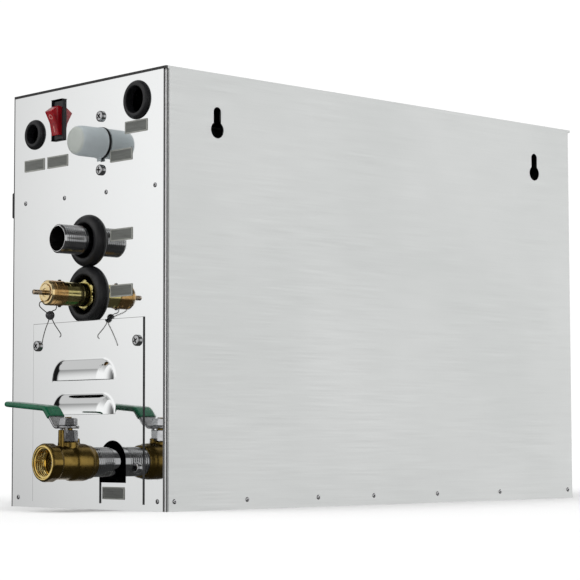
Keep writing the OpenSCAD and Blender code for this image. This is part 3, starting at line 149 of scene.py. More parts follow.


# %% [markdown]
# A bent or cut edge mirrors light and shade as a thin line of another colour, and here such a
# line is painted: a band lays a colour over the finish where one coordinate lies between two
# values, so the painted line follows the sheet.

# %% Helper that lays a band of colour on a finish
def band(finish, axis, low, high, colour, soft=0.08):
    shader = finish.node_tree.nodes["Principled BSDF"]
    parts, both, layer = (node(finish, kind) for kind in ("SeparateXYZ", "Math", "Mix"))
    both.operation, layer.data_type = "MULTIPLY", "RGBA"
    connect(finish, node(finish, "TexCoord").outputs["Object"], parts.inputs["Vector"])
    for k, (start, end) in enumerate(((low - soft, low), (high + soft, high))):
        edge = node(finish, "MapRange", From_Min=start * MM, From_Max=end * MM)
        connect(finish, parts.outputs[axis], edge.inputs["Value"])
        connect(finish, edge.outputs["Result"], both.inputs[k])
    under, over, mixed = layer.inputs[6], layer.inputs[7], layer.outputs[2]
    over.default_value = (*colour, 1)
    connect(finish, both.outputs["Value"], layer.inputs["Factor"])
    connect(finish, shader.inputs["Base Color"].links[0].from_socket, under)
    connect(finish, mixed, shader.inputs["Base Color"])


# %% [markdown]
# ## Seal wires
# Two ends of thin steel wire run from the safety valve's bonnet to a lead seal, and their cut
# tails hang below it. The wires come first, because they are the only loose things here. Each
# is a curve through the same points as in the CAD model: reach out of the panel, place across
# it, and height against the valve's axis.

# %% Routes of the two wires
FRONT_ROUTE = [(36.8, -1.8, -6.15), (37.7, -1.8, -6.2), (38.7, -1.8, -6.3), (39.5, -2, -6.9),
               (39.8, -2.2, -8), (39.4, -2.5, -9.2), (38.1, -2.9, -10.3), (36, -3.6, -11.4),
               (33.6, -4.4, -12.5), (31.3, -5.2, -13.5), (29.4, -6, -14.6), (28.2, -6.6, -16),
               (27.9, -6.9, -17.8), (28.3, -6.9, -19.6), (29.3, -6.7, -21.6), (30.7, -6.4, -24.1),
               (32, -6, -26.8), (33.2, -5.6, -29.6), (34.3, -5.2, -32.4), (35.2, -4.8, -35.4)]
REAR_ROUTE = [(28.2, 2.6, -6.2), (28.2, 2.6, -8.2), (28.2, 2.5, -9.8), (28.2, 1.9, -11.1),
              (28.1, 0.5, -11.9), (28, -1.2, -12.1), (27.8, -2.9, -12.5), (27.5, -4.2, -13.6),
              (27.1, -4.9, -15.1), (26.6, -5.3, -16.8), (25.7, -5.5, -18.6), (24.6, -5.6, -20.4),
              (23.3, -5.7, -22.2), (21.7, -5.8, -24), (20.1, -6, -25.7), (18.7, -6.1, -27.2),
              (17.8, -6.1, -28.5), (17.9, -6, -29.8), (18.9, -5.9, -30.7)]
WIRE_D = 0.7
print("wire points", len(FRONT_ROUTE), len(REAR_ROUTE))

# %% [markdown]
# A Bezier curve with automatic handles bends smoothly through its points, as springy wire does,
# and its bevel gives it a round section. The wire leaves the bonnet at one of its points.

# %% Two seal wires
seal_steel = finish_of("seal_steel", 1, ((0.12, 0.115, 0.11), (0.24, 0.235, 0.22), 900),
                       (0.28, 0.45, 1500))


def seal_wire(node_name, route):
    places = [Vector((END + x, y, SAFETY[1] + z)) * MM for x, y, z in route]
    curve = bpy.data.curves.new(node_name + "_bent", "CURVE")
    curve.dimensions = "3D"
    curve.bevel_depth, curve.bevel_resolution = WIRE_D / 2 * MM, 4
    curve.resolution_u = 6
    curve.use_fill_caps = True
    spline = curve.splines.new("BEZIER")
    spline.bezier_points.add(len(places) - 1)
    for point, place in zip(spline.bezier_points, places):
        point.co = place
        point.handle_left_type = point.handle_right_type = "AUTO"
    wire = bpy.data.objects.new(node_name + "_bent", curve)
    bpy.context.scene.collection.objects.link(wire)
    curve.materials.append(seal_steel)
    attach(wire, "casing")
    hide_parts(node_name)
    straight = sum((b - a).length for a, b in zip(places, places[1:]))
    print(wire.name, "route", round(straight / MM, 2), "mm")


seal_wire("seal_wire_front", FRONT_ROUTE)
seal_wire("seal_wire_rear", REAR_ROUTE)

# %% [markdown]
# ## Small helpers
# A piece of this object is nearly always a turned part, a pressed sheet or a moulding. The
# first helper finishes such a mesh, hangs it under an empty for the body it moves with, hides
# the CAD node it stands for, and gives it its materials. Faces that a cell has numbered keep
# their own.

# %% Helper that turns a bmesh into a piece
def keep_piece(name, node_name, bm, body, slot, *finishes, smooth_below=35):
    bmesh.ops.remove_doubles(bm, verts=bm.verts, dist=0.002 * MM)
    bmesh.ops.recalc_face_normals(bm, faces=bm.faces)
    mesh = bpy.data.meshes.new(name)
    bm.to_mesh(mesh)
    bm.free()
    mesh.shade_smooth()
    mesh.set_sharp_from_angle(angle=math.radians(smooth_below))
    for finish in finishes:
        mesh.materials.append(finish)
    piece = bpy.data.objects.new(name, mesh)
    bpy.context.scene.collection.objects.link(piece)
    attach(piece, body)
    if node_name:
        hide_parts(node_name)
    print(name, len(mesh.polygons), "faces")


# %% [markdown]
# Every part is made about the X axis at the origin, then turned and set in its place. These
# short names for bmesh operators keep the cells readable. A bevel needs all its settings,
# because its defaults differ from the editor's.

# %% Helpers that move parts and round edges
def shift(bm, verts, x, y, z):
    bmesh.ops.translate(bm, verts=verts, vec=(x * MM, y * MM, z * MM))


def on_end(bm, verts, place, reach=0):
    shift(bm, verts, END + reach, *place)


def swing(bm, verts, degrees, axis):
    bmesh.ops.rotate(bm, verts=verts, cent=(0, 0, 0),
                     matrix=Matrix.Rotation(math.radians(degrees), 3, axis))


def upright(bm, verts):
    swing(bm, verts, -90, "Y")


def block(bm, x, y, z):
    made = bmesh.ops.create_cube(bm, size=1)["verts"]
    bmesh.ops.scale(bm, verts=made, vec=(x * MM, y * MM, z * MM))
    return made


def edges_of(bm, verts):
    return [e for e in bm.edges if e.verts[0] in verts]


def edges_along_x(bm):
    return [e for e in bm.edges if abs(e.verts[0].co.x - e.verts[1].co.x) > 0.2 * MM]


def round_edges(bm, edges, size, segments, clamp=False):
    bmesh.ops.bevel(bm, geom=edges, offset=size * MM, offset_type="OFFSET", affect="EDGES",
                    segments=segments, profile=0.5, material=-1, clamp_overlap=clamp)


def thicken(bm, faces, vec):
    grown = bmesh.ops.extrude_face_region(bm, geom=faces)["geom"]
    shift(bm, [g for g in grown if isinstance(g, bmesh.types.BMVert)], *vec)


# %% [markdown]
# A turned part is a profile spun round an axis. The profile is a list of pairs: how far along
# the axis, and how far from it. Spinning a closed profile gives a solid with a bore, and a rod
# is the simplest profile of all. A curve in a profile is a list of angles.

# %% Helpers for turned parts
def turned(bm, profile, steps=96):
    old = set(bm.verts)
    points = [bm.verts.new((reach * MM, 0, radius * MM)) for reach, radius in profile]
    edges = [bm.edges.new(pair) for pair in zip(points, points[1:] + points[:1])]
    bmesh.ops.spin(bm, geom=points + edges, cent=(0, 0, 0), axis=(1, 0, 0), dvec=(0, 0, 0),
                   angle=math.tau, steps=steps, use_merge=True)
    bmesh.ops.remove_doubles(bm, verts=[v for v in bm.verts if v not in old], dist=0.002 * MM)
    return [v for v in bm.verts if v not in old]


def rod(bm, start, end, radius, steps):
    return turned(bm, [(start, 0), (start, radius), (end, radius), (end, 0)], steps)


def rows(start, end, step):
    count = max(1, round(abs(end - start) / step))
    return [start + (end - start) * k / count for k in range(count + 1)]


def angles(first, last, step):
    return [math.radians(a) for a in range(first, last + 1, step)]


def radius_and_reach(place):
    return math.hypot(place.y, place.z) / MM, place.x / MM


def widen(v, share):
    v.co.y *= share
    v.co.z *= share


# %% [markdown]
# Flats, such as those of a nut, are pressed into a turned part: each point that lies beyond a
# flat is pulled back to it, which leaves the curved chamfers that a real nut has.

# %% Helper that presses flats
def press_flats(verts, count, half_across, low, high, turn=0):
    step = math.tau / count
    for v in verts:
        radius, reach = radius_and_reach(v.co)
        angle = math.atan2(v.co.z, v.co.y) - math.radians(turn)
        limit = half_across / math.cos((angle + step / 2) % step - step / 2)
        if low <= reach <= high and radius > limit:
            widen(v, limit / radius)


# %% [markdown]
# Holes, recesses and castings need one mesh to act on another. A boolean carves with exact
# edges. A voxel remesh melts overlapping shapes into one skin, and smoothing then gives the
# soft inside corners of a casting. Both are modifiers, so one helper runs them and reads the
# result back.

# %% Helpers that carve and melt meshes
def through_modifier(kind, settings, *sources):
    things = []
    for source in sources:
        bmesh.ops.recalc_face_normals(source, faces=source.faces)
        mesh = bpy.data.meshes.new("workpiece")
        source.to_mesh(mesh)
        source.free()
        things.append(bpy.data.objects.new("workpiece", mesh))
        bpy.context.scene.collection.objects.link(things[-1])
    change = things[0].modifiers.new("change", kind)
    for name, value in settings.items():
        setattr(change, name, value)
    if kind == "BOOLEAN":
        change.object = things[1]
    bpy.context.view_layer.update()
    ready = things[0].evaluated_get(bpy.context.evaluated_depsgraph_get())
    result = bmesh.new()
    result.from_mesh(ready.to_mesh())
    ready.to_mesh_clear()
    for thing in things:
        mesh = thing.data
        bpy.data.objects.remove(thing)
        bpy.data.meshes.remove(mesh)
    return result


def carved(bm, tool):
    return through_modifier("BOOLEAN", {"operation": "DIFFERENCE", "solver": "EXACT"}, bm, tool)


def melted(bm, voxel, rounds):
    result = through_modifier("REMESH", {"mode": "VOXEL", "voxel_size": voxel * MM}, bm)
    for _ in range(rounds):
        bmesh.ops.smooth_vert(result, verts=result.verts, factor=0.5, use_axis_x=True,
                              use_axis_y=True, use_axis_z=True)
    return result


# %% [markdown]
# ### Sheet steels
# The casing is satin stainless: fine lines from rolling run along the sheet and blur what it
# reflects. The connection end is polished to a mirror, and only a very slow waviness of the
# sheet bends its reflections. At the corner by the connection end, bands paint the bend's
# reflections: a bright line and a dark line on the satin, and a dark line on the mirror's edge.
# A painted dark line runs along the cover's edge, and the access panel's cut edges are painted
# dark as shade.

# %% Satin and mirror stainless
ROLLED = (20, 20, 2400)
SATIN = ((0.535, 0.547, 0.541), (0.57, 0.58, 0.575), 7)
satin_steel = finish_of("satin_steel", 1, SATIN, (0.36, 0.46, 1, ROLLED, 3),
                        (0.01, 0.25, 1, ROLLED, 3))
# Painted highlight and painted dark line for the reflections in the bend at the end corner
band(satin_steel, "X", END - 1.5, END, (0.95, 0.95, 0.95), 0.02)
band(satin_steel, "X", END - 1.95, END - 1.55, (0.12, 0.12, 0.12), 0.04)
cover_steel = finish_of("cover_steel", 1, SATIN, (0.36, 0.46, 1, (20, 2400, 2400), 3))
# Painted dark line along the cover's edge, for the dark reflection in its rolled rim
band(cover_steel, "X", END - 1.6, END + 1, (0.07, 0.07, 0.07))
mirror_steel = finish_of("mirror_steel", 1, ((0.84, 0.852, 0.852), (0.88, 0.89, 0.888), 4),
                         (0.03, 0.06, 120, (1, 1, 6)), (0.12, 0.3, 9, (1, 1, 1), 1))
# Painted dark line at the mirror's edge, for the reflection in the bend at the back corner
band(mirror_steel, "Y", EDGE - 0.1, EDGE + 1, (0.16, 0.16, 0.16), 0.02)
# Edges of the access panel are painted dark as shade
painted_edge_shade = finish_of("painted_edge_shade", 1, ((0.07, 0.07, 0.071), (0.14, 0.14, 0.142), 600, (1, 1, 0.2)),
                     (0.4, 0.6, 900))
boiler_steel = finish_of("boiler_steel", 1, ((0.42, 0.42, 0.41), (0.56, 0.56, 0.55), 20),
                         (0.28, 0.45, 1, (30, 1800, 30)))
print("bands of", satin_steel.name, "end at the panel,", round(END, 2), "mm")

# %% [markdown]
# ### Plated and turned metals
# The nipples carry a dark chrome, the screws and nuts a bright zinc, and the lever a dull one.
# Each has its own fine marks, kept small so that the reflections stay clear.

# %% Plated steels
dark_chrome = finish_of("dark_chrome", 1, ((0.41, 0.41, 0.415), (0.47, 0.47, 0.475), 160),
                        (0.06, 0.12, 500), (0.004, 0.25, 1400))
# Painted shade: bores, recesses and hollows are near black; the bonnet's pins take it too
hollow_shade_and_dark_pins = finish_of("hollow_shade_and_dark_pins", 1, ((0.03, 0.029, 0.028), (0.09, 0.087, 0.084), 400,
                                       (0.2, 1, 1)), (0.38, 0.6, 700))
# Painted highlight on the end faces of the nipples
rim_painted_highlight = finish_of("rim_painted_highlight", 1, ((0.72, 0.72, 0.72), (0.86, 0.86, 0.86), 500),
                       (0.14, 0.28, 900))
zinc_plate = finish_of("zinc_plate", 1, ((0.41, 0.41, 0.42), (0.5, 0.5, 0.51), 220),
                       (0.14, 0.26, 700), (0.003, 0.25, 1200))
lever_zinc = finish_of("lever_zinc", 1, ((0.3, 0.3, 0.305), (0.42, 0.42, 0.425), 150),
                       (0.24, 0.38, 1, (900, 60, 60)))
print("plated steels", dark_chrome.name, zinc_plate.name, lever_zinc.name)

# %% [markdown]
# The drain valve is cast brass, dull outside and bright where it is machined. The safety valve
# is turned from bar, so its grain is fine rings round the axis, which a strong stretch along X
# gives.

# %% Brasses
TURNED_RINGS = (0.006, 0.3, 1, (2400, 60, 60), 2)
cast_brass = finish_of("cast_brass", 1, ((0.14, 0.09, 0.021), (0.205, 0.136, 0.036), 90),
                       (0.22, 0.36, 400), (0.04, 0.5, 700, (1, 1, 1), 3))
bright_brass = finish_of("bright_brass", 1, ((0.82, 0.58, 0.18), (0.95, 0.76, 0.32), 200),
                         (0.1, 0.2, 900))
olive_brass = finish_of("olive_brass", 1, ((0.5, 0.43, 0.16), (0.66, 0.57, 0.25), 120),
                        (0.1, 0.2, 600), TURNED_RINGS)
# Painted highlight: a lighter copy of the brass for the bonnet's faces turned to the end
bonnet_painted_highlight = finish_of("bonnet_painted_highlight", 1, ((0.84, 0.64, 0.32), (0.95, 0.78, 0.47), 300),
                        (0.12, 0.24, 900))
rod_bronze = finish_of("rod_bronze", 1, ((0.34, 0.26, 0.18), (0.47, 0.37, 0.27), 300),
                       (0.08, 0.16, 900))
bonnet_brass = finish_of("bonnet_brass", 1, ((0.47, 0.27, 0.095), (0.62, 0.39, 0.16), 160),
                         (0.15, 0.26, 800), TURNED_RINGS)
print("turned brasses", olive_brass.name, bonnet_brass.name)

# %% [markdown]
# ### Rubber and plastics
# Rubber is nearly black with a soft sheen. The transport cap is a thin milky plastic that lets
# light in, so it scatters light below its surface. The rocker is clear red plastic.

# %% Rubber, plastics and the vinyl sleeve
black_rubber = finish_of("black_rubber", 0, ((0.007, 0.007, 0.008),), (0.36, 0.5, 300),
                         (0.01, 0.4, 1500))
black_plastic = finish_of("black_plastic", 0, ((0.014, 0.014, 0.016),), (0.32, 0.46, 900),
                          (0.01, 0.4, 2500))
grey_cap = finish_of("grey_cap", 0, ((0.36, 0.4, 0.415), (0.4, 0.44, 0.455), 60),
                     (0.34, 0.46, 500))
# The blunt front of the cap is a slightly darker, greener grey
band(grey_cap, "X", END + 23.4, END + 70, (0.38, 0.405, 0.38), 1)
green_vinyl = finish_of("green_vinyl", 0, ((0.0025, 0.072, 0.032), (0.004, 0.098, 0.045), 80),
                        (0.24, 0.4, 350), (0.04, 0.35, 260))
red_plastic = finish_of("red_plastic", 0, ((0.27, 0.004, 0.009), (0.4, 0.009, 0.016), 150),
                        (0.08, 0.16, 600))
mark_pale = finish_of("mark_pale", 0, ((0.46, 0.17, 0.15), (0.54, 0.23, 0.2), 400),
                      (0.34, 0.48, 900))
white_plastic = finish_of("white_plastic", 0, ((0.75, 0.75, 0.72), (0.81, 0.81, 0.78), 90),
                          (0.38, 0.55, 500))
seat_ptfe = finish_of("seat_ptfe", 0, ((0.82, 0.82, 0.79), (0.88, 0.88, 0.85), 200),
                      (0.42, 0.6, 500))
for finish, socket, value in ((grey_cap, "Subsurface Weight", 0.25),
                              (grey_cap, "Subsurface Radius", (0.003, 0.003, 0.003)),
                              (grey_cap, "Subsurface Scale", 1),
                              (red_plastic, "Transmission Weight", 0.3),
                              (red_plastic, "Coat Weight", 0.5)):
    finish.node_tree.nodes["Principled BSDF"].inputs[socket].default_value = value
    print(finish.name, socket)

# %% [markdown]
# ### Plates, lead, board and heater tube
# The small plates are anodised aluminium, bare here. The seal is dull lead, the circuit board is
# lacquered, and the heater tubes are a steel that has turned brown with heat.

# %% Remaining finishes
plate_grey = finish_of("plate_grey", 0.2, ((0.11, 0.115, 0.105), (0.15, 0.155, 0.145), 1,
                                           (60, 60, 2600)), (0.42, 0.6, 800))
plate_frame = finish_of("plate_frame", 0.2, ((0.27, 0.275, 0.25), (0.33, 0.335, 0.31), 300),
                        (0.38, 0.55, 800))
dull_lead = finish_of("dull_lead", 0.8, ((0.06, 0.06, 0.065), (0.13, 0.13, 0.135), 700),
                      (0.45, 0.7, 900), (0.05, 0.5, 1100))
board_green = finish_of("board_green", 0, ((0.012, 0.12, 0.045), (0.03, 0.2, 0.08), 250),
                        (0.25, 0.4, 600))
heater_tube = finish_of("heater_tube", 1, ((0.2, 0.17, 0.15), (0.4, 0.37, 0.33), 60),
                        (0.32, 0.5, 400))
print("finishes", len(bpy.data.materials))

# %% [markdown]
# ## Finishes for the CAD nodes
# Most solids already have their right shape, so they only get a finish. Each name below is a
# node of the CAD model, and its finish goes into the material slots of its own object.

# %% Give each CAD node its finish
node_finishes = {
    satin_steel: ["base_tray", "back_panel", "far_end_panel", "inner_shelf", "tank_brackets"],
    cover_steel: ["top_cover", "front_cover"],
    mirror_steel: ["connection_panel", "access_panel"],
    boiler_steel: ["boiler_tank", "heater_flange", "inlet_plunger"],
    zinc_plate: ["casing_rivets", "cover_screws", "access_panel_screws", "inlet_valve_screws",
                 "switch_terminals", "hose_clips", "heater_nuts", "inlet_plunger_spring",
                 "safety_valve_spring", "inlet_strainer", "drain_gland_nut", "lever_nut"],
    dark_chrome: ["steam_outlet_nipple", "drain_nipple", "drain_valve_ball"],
    lever_zinc: ["lever_plate"],
    cast_brass: ["drain_valve_body", "drain_valve_stem", "seat_retainer"],
    olive_brass: ["safety_valve_body"],
    bonnet_brass: ["safety_valve_bonnet", "safety_valve_stem"],
    black_rubber: ["control_cable_grommet", "power_cable_grommet", "steam_pipe_grommet",
                   "safety_valve_grommet", "inlet_root_ring", "feed_hose"],
    black_plastic: ["front_cover_pull", "switch_housing", "inlet_valve_coil", "power_relays",
                    "overheat_thermostat"],
    red_plastic: ["switch_rocker"],
    grey_cap: ["inlet_transport_cap"],
    green_vinyl: ["lever_sleeve"],
    white_plastic: ["inlet_valve_body", "level_probe", "board_parts", "terminal_block"],
    seat_ptfe: ["drain_valve_seats"],
    plate_grey: ["name_plates"],
    dull_lead: ["lead_seal"],
    seal_steel: ["seal_wire_front", "seal_wire_rear"],
    board_green: ["control_board"],
    heater_tube: ["heating_elements"],
}
for finish, names in node_finishes.items():
    for name in names:
        for material_slot in NODES[name].material_slots:
            material_slot.material = finish
print("finished", sum(len(names) for names in node_finishes.values()), "nodes")

# %% [markdown]
# ## Threaded nipples
# The steam outlet and the drain each end in a half-inch pipe nipple: a chromed tube with a
# thread and a bevelled mouth. A thread could be a screw modifier, but a fine grid gives more
# control: the pipe is turned with many short rows, and each point outside is then pulled in by
# an amount that turns once round the pipe for every pitch. The thread fades out where it ends.

# %% Threaded pipe
PIPE_R, PLAIN_R, BORE_R, PIPE_IN, THREAD_IN = 10.48, 10.28, 7.75, -37.5, 8
PITCH, GROOVE, NIPPLE_DEPTH = 1.814, 0.24, 0.75


def thread_depth(v, start, end, depth):
    reach, angle = v.co.x / MM, math.atan2(v.co.z, v.co.y)
    wave = max(0, 1 - abs((reach / PITCH - angle / math.tau) % 1 - 0.5) / GROOVE)
    run_in = min(1, max(0, (reach - start) / PITCH))
    return depth * wave * run_in * min(1, max(0, (end - reach) / (0.5 * PITCH)))


def threaded_nipple(name, node_name, reach, place):
    bm = bmesh.new()
    end = reach - 1.6
    outside = [(x, PIPE_R) for x in rows(THREAD_IN, end, PITCH / 18)]
    profile = [(PIPE_IN, BORE_R), (PIPE_IN, PLAIN_R), (THREAD_IN - 0.2, PLAIN_R)] + outside
    profile += [(reach - 1.3, PIPE_R), (reach - 0.35, PIPE_R - 0.8), (reach - 0.08, PIPE_R - 1.02),
                (reach, PIPE_R - 1.12), (reach, BORE_R + 1.3), (reach - 0.15, BORE_R + 1.25),
                (reach - 4, BORE_R)]
    for v in turned(bm, profile):
        radius, along = radius_and_reach(v.co)
        if radius > PLAIN_R + 0.1 and THREAD_IN <= along <= end:
            widen(v, 1 - thread_depth(v, THREAD_IN, end, NIPPLE_DEPTH) / radius)
    # The end face takes the painted highlight; the bore and its bevel take the painted shade
    for face in bm.faces:
        radius, along = radius_and_reach(face.calc_center_median())
        face.material_index = 2 if along > reach - 0.05 else int(radius < BORE_R + 1.28)
    on_end(bm, bm.verts, place)
    keep_piece(name, node_name, bm, "casing", "chrome", dark_chrome, hollow_shade_and_dark_pins, rim_painted_highlight)


threaded_nipple("steam_nipple_threaded", "steam_outlet_nipple", 28, STEAM)
threaded_nipple("drain_nipple_threaded", "drain_nipple", 32, DRAIN)

# %% [markdown]
# ## Drain valve body
# The ball valve's body is a sand casting in brass, machined only at its mouth. Its outline is
# turned, the boss for the stem and the two posts are set across it, and the whole is melted
# into one skin, so that the boss flows into the body as it does on a casting. The octagon of
# the collar is pressed in first.

# %% Cast body before machining
VALVE_IN, VALVE_OUT, COLLAR_IN, COLLAR_R = -18.5, 22, 13, 13.3
POST_TURN, POST_FROM = math.radians(20), 4
bm = bmesh.new()
outline = [(0, 0), (0, 11.2), (0.5, 11.7), (2.3, 11.9), (3.2, 12.1), (5.2, 12.8), (6.6, 13),
           (11, 13), (16, 13), (17.6, 12.8), (19.4, 12), (20.6, 11.8), (26, 11.8), (30.6, 11.8),
           (31.4, 12.2), (32.2, 13.4), (33, 14), (35, 14), (37.5, 14), (39, 13.9), (39.8, 13.1),
           (40.5, 12.3), (40.5, 0)]
verts = turned(bm, [(VALVE_IN + x, radius) for x, radius in outline], 144)
press_flats(verts, 8, 12.85, COLLAR_IN, VALVE_IN + 40, 22.5)
for v in verts:
    radius, reach = radius_and_reach(v.co)
    if radius > COLLAR_R and reach > COLLAR_IN:
        widen(v, COLLAR_R / radius)
for x, y, foot_r, top_r, top in ((0, 0, 7.6, 7.2, 14.2), (-8, 0, 2.2, 1.6, 16.6),
                                 (9 * math.cos(POST_TURN), 9 * math.sin(POST_TURN), 2.3, 2, 22.6)):
    made = bmesh.ops.create_cone(bm, cap_ends=True, segments=40, radius1=foot_r * MM,
                                 radius2=top_r * MM, depth=(top - POST_FROM) * MM)["verts"]
    shift(bm, made, x, y, (top + POST_FROM) / 2)
bm = melted(bm, 0.34, 5)
print("casting", len(bm.faces), "faces")

# %% [markdown]
# Machining comes after casting, as in the foundry: one turned cutter carries the socket, the
# ball's chamber, and the threaded mouth with its bevel. A second cutter drills the stem's hole
# from above. Faces that the tools have cut shine, and the rest keeps its casting skin.

# %% Machine the body
MOUTH_R, MOUTH_IN, MOUTH_DEPTH = 9.5, 13.4, 0.85
cutter = bmesh.new()
mouth = [(x, MOUTH_R) for x in rows(MOUTH_IN, VALVE_OUT - 0.9, PITCH / 8)]
bore = [(VALVE_IN - 1, 0), (VALVE_IN - 1, 10.53), (VALVE_IN + 9, 10.53), (VALVE_IN + 9, 7.75),
        (-10.5, 7.75), (-10.5, 9.2), (12.5, 9.2), (12.5, 9.9), (MOUTH_IN, 9.9)] + mouth
bore += [(VALVE_OUT - 0.9, 10.4), (VALVE_OUT, 10.9), (VALVE_OUT + 1, 11.4), (VALVE_OUT + 1, 0)]
for v in turned(cutter, bore):
    radius, reach = radius_and_reach(v.co)
    if abs(radius - MOUTH_R) < 0.1 and MOUTH_IN <= reach < VALVE_OUT - 0.8:
        widen(v, 1 + thread_depth(v, MOUTH_IN, VALVE_OUT + 1, MOUTH_DEPTH) / radius)
bm = carved(bm, cutter)
cutter = bmesh.new()
upright(cutter, turned(cutter, [(8, 0), (8, 3.05), (11.2, 3.05), (11.2, 4.65), (15, 4.65),
                                (15, 0)], 48))
bm = carved(bm, cutter)
for face in bm.faces:
    radius, reach = radius_and_reach(face.calc_center_median())
    face.material_index = int((radius < 11 and reach > 12) or reach > VALVE_OUT - 0.03)
on_end(bm, bm.verts, DRAIN, STEM_REACH)
keep_piece("drain_valve_casting", "drain_valve_body", bm, "casing", "olive_brass", cast_brass,
           bright_brass)

# %% [markdown]
# ## Nuts and lever
# The gland nut and the lever nut are hexagons with turned chamfers. They are turned first and
# their flats pressed in after, which gives the curved edges of a real nut. The gland nut also
# has a round skirt that screws into the body.

# %% Two nuts
def hex_nut(name, node_name, body, foot, bottom, top, half_across, bore):
    bm = bmesh.new()
    corner = half_across / math.cos(math.pi / 6)
    verts = turned(bm, foot + [(bottom, half_across - 0.4), (bottom + 0.5, corner),
                               (top - 0.8, corner), (top - 0.35, corner - 0.35),
                               (top, half_across - 0.5), (top, bore)], 144)
    press_flats(verts, 6, half_across, bottom, top, 30)
    upright(bm, verts)
    on_end(bm, verts, DRAIN, STEM_REACH)
    keep_piece(name, node_name, bm, body, "zinc_steel", zinc_plate, smooth_below=28)


hex_nut("gland_nut_turned", "drain_gland_nut", "casing", [(11.2, 3.05), (11.2, 4.6), (14.2, 4.6)],
        14.2, 22.4, 5.89, 3.05)
hex_nut("lever_nut_turned", "lever_nut", "drain_lever", [(25.4, 2.35)], 25.4, 30.8, 5.5, 2.35)

# %% [markdown]
# The lever is a steel strip, pressed with two bends. Its route is drawn in the upright plane of
# the strip: distance from the stem, and height over the pipe's axis. Averaging each point with
# its neighbours rounds the bends.

# %% Route of the lever
HUB_Z, HUB_R, LEVER_L, LEVER_W, LEVER_T = 23.4, 7.6, 70, 12.8, 2
KNEE, RISE, STEP, ROUNDS = (20.5, 36.7), math.tan(math.radians(4.3)), 0.5, 14
CORNERS = [(-HUB_R, HUB_Z), (8.5, HUB_Z), KNEE, (LEVER_L, KNEE[1] + (LEVER_L - KNEE[0]) * RISE)]
route = []
for (d0, h0), (d1, h1) in zip(CORNERS, CORNERS[1:]):
    count = round(math.hypot(d1 - d0, h1 - h0) / STEP)
    route += [(d0 + (d1 - d0) * k / count, h0 + (h1 - h0) * k / count) for k in range(count)]
route.append(CORNERS[-1])
for _ in range(ROUNDS):
    middle = [((a[0] + 2 * b[0] + c[0]) / 4, (a[1] + 2 * b[1] + c[1]) / 4)
              for a, b, c in zip(route, route[1:], route[2:])]
    route = [route[0]] + middle + [route[-1]]
print("lever route", len(route), "points")


def across_route(k):
    a, b = route[max(0, k - 1)], route[min(len(route) - 1, k + 1)]
    length = math.hypot(b[0] - a[0], b[1] - a[1])
    return -(b[1] - a[1]) / length, (b[0] - a[0]) / length


def along_route(place):
    k = min(int(place), len(route) - 2)
    rest = place - k
    point = [route[k][j] * (1 - rest) + route[k + 1][j] * rest for j in (0, 1)]
    normal = [across_route(k)[j] * (1 - rest) + across_route(k + 1)[j] * rest for j in (0, 1)]
    return point, normal


# %% [markdown]
# A flat grid follows the route, once for the lower skin and once for the upper, and the two meet
# at the rim, where they curve in. The width narrows to the round ends. Rows of the grid stand
# close together at both ends, where the outline turns fastest.

# %% Helpers that bend a strip along the route
def strip(bm, places, half_width, low, high, edge_round, rises):
    for skin in (low, high):
        made = bmesh.ops.create_grid(bm, x_segments=len(places) - 1, y_segments=24, size=0.5)
        for v in made["verts"]:
            place = places[round((v.co.x + 0.5) * (len(places) - 1))]
            share = math.sin(math.pi * v.co.y)
            point, normal = along_route(place)
            half, depth = half_width(point[0], share)
            swell = math.sqrt(max(0, 1 - (1 - min(1, depth / edge_round)) ** 2))
            off = (low + high) / 2 + (skin - (low + high) / 2) * swell * rises(place)
            v.co = Vector((share * half, -(point[0] + normal[0] * off),
                           point[1] + normal[1] * off)) * MM
    rim = [v for v in bm.verts if v.is_boundary]
    bmesh.ops.remove_doubles(bm, verts=rim, dist=0.003 * MM)


def lever_outline(half, end):
    hub, hub_end = HUB_R + half - LEVER_W / 2, 4.1

    def half_width(d, share):
        width = half
        if d < hub_end:
            width = math.sqrt(max(0.0001, hub ** 2 - d * d))
        if d > end - half:
            width = math.sqrt(max(0.0001, half ** 2 - (d - end + half) ** 2))
        depth = width * (1 - abs(share))
        if d > end - half:
            depth = half - math.hypot(d - end + half, width * share)
        if d < 0:
            depth = hub - math.hypot(d, width * share)
        return width, max(0, depth)
    return half_width


def crowded_rows(first, growth, near, even_from, even_to, far):
    last = len(route) - 1
    start = {first + growth * k * k for k in range(near)}
    even = {even_from + 0.8 * k for k in range(500) if even_from + 0.8 * k < last - even_to}
    return sorted(start | even | {last - 0.0045 * k * k for k in range(far)})


# %% [markdown]
# Two square ears reach down beside the hub of the lever. They meet the taller post of the body
# at the two ends of the lever's turn.

# %% Steel lever with its stops
bm = bmesh.new()
strip(bm, crowded_rows(0, 0.0048, 30, 4.2, 4, 30), lever_outline(LEVER_W / 2, LEVER_L), 0,
      LEVER_T, 0.5, lambda place: 1)
for turn in (44, -94):
    ear = block(bm, 1.8, 1.8, 5.6)
    shift(bm, ear, 8, 0, HUB_Z - 0.8)
    swing(bm, ear, turn, "Z")
    round_edges(bm, edges_of(bm, ear), 0.3, 2)
on_end(bm, bm.verts, DRAIN, STEM_REACH)
keep_piece("lever_strip", "lever_plate", bm, "drain_lever", "zinc_steel", lever_zinc)

# %% [markdown]
# The handle is dipped in soft green vinyl. The sleeve follows the same route a little wider and
# thicker, its full, round edge is that of a dipped coat, and it thins to a lip where it starts.

# %% Green sleeve
SLEEVE_T, SLEEVE_FROM = 0.9, 15.1
route.append((route[-1][0] + SLEEVE_T, route[-1][1] + SLEEVE_T * RISE))
slope_start = min(range(len(route)), key=lambda k: abs(route[k][0] - SLEEVE_FROM))


def sleeve_lip(place):
    return math.sqrt(1 - (1 - min(1, (place - slope_start) * STEP / 0.7)) ** 2) * 0.28 + 0.72


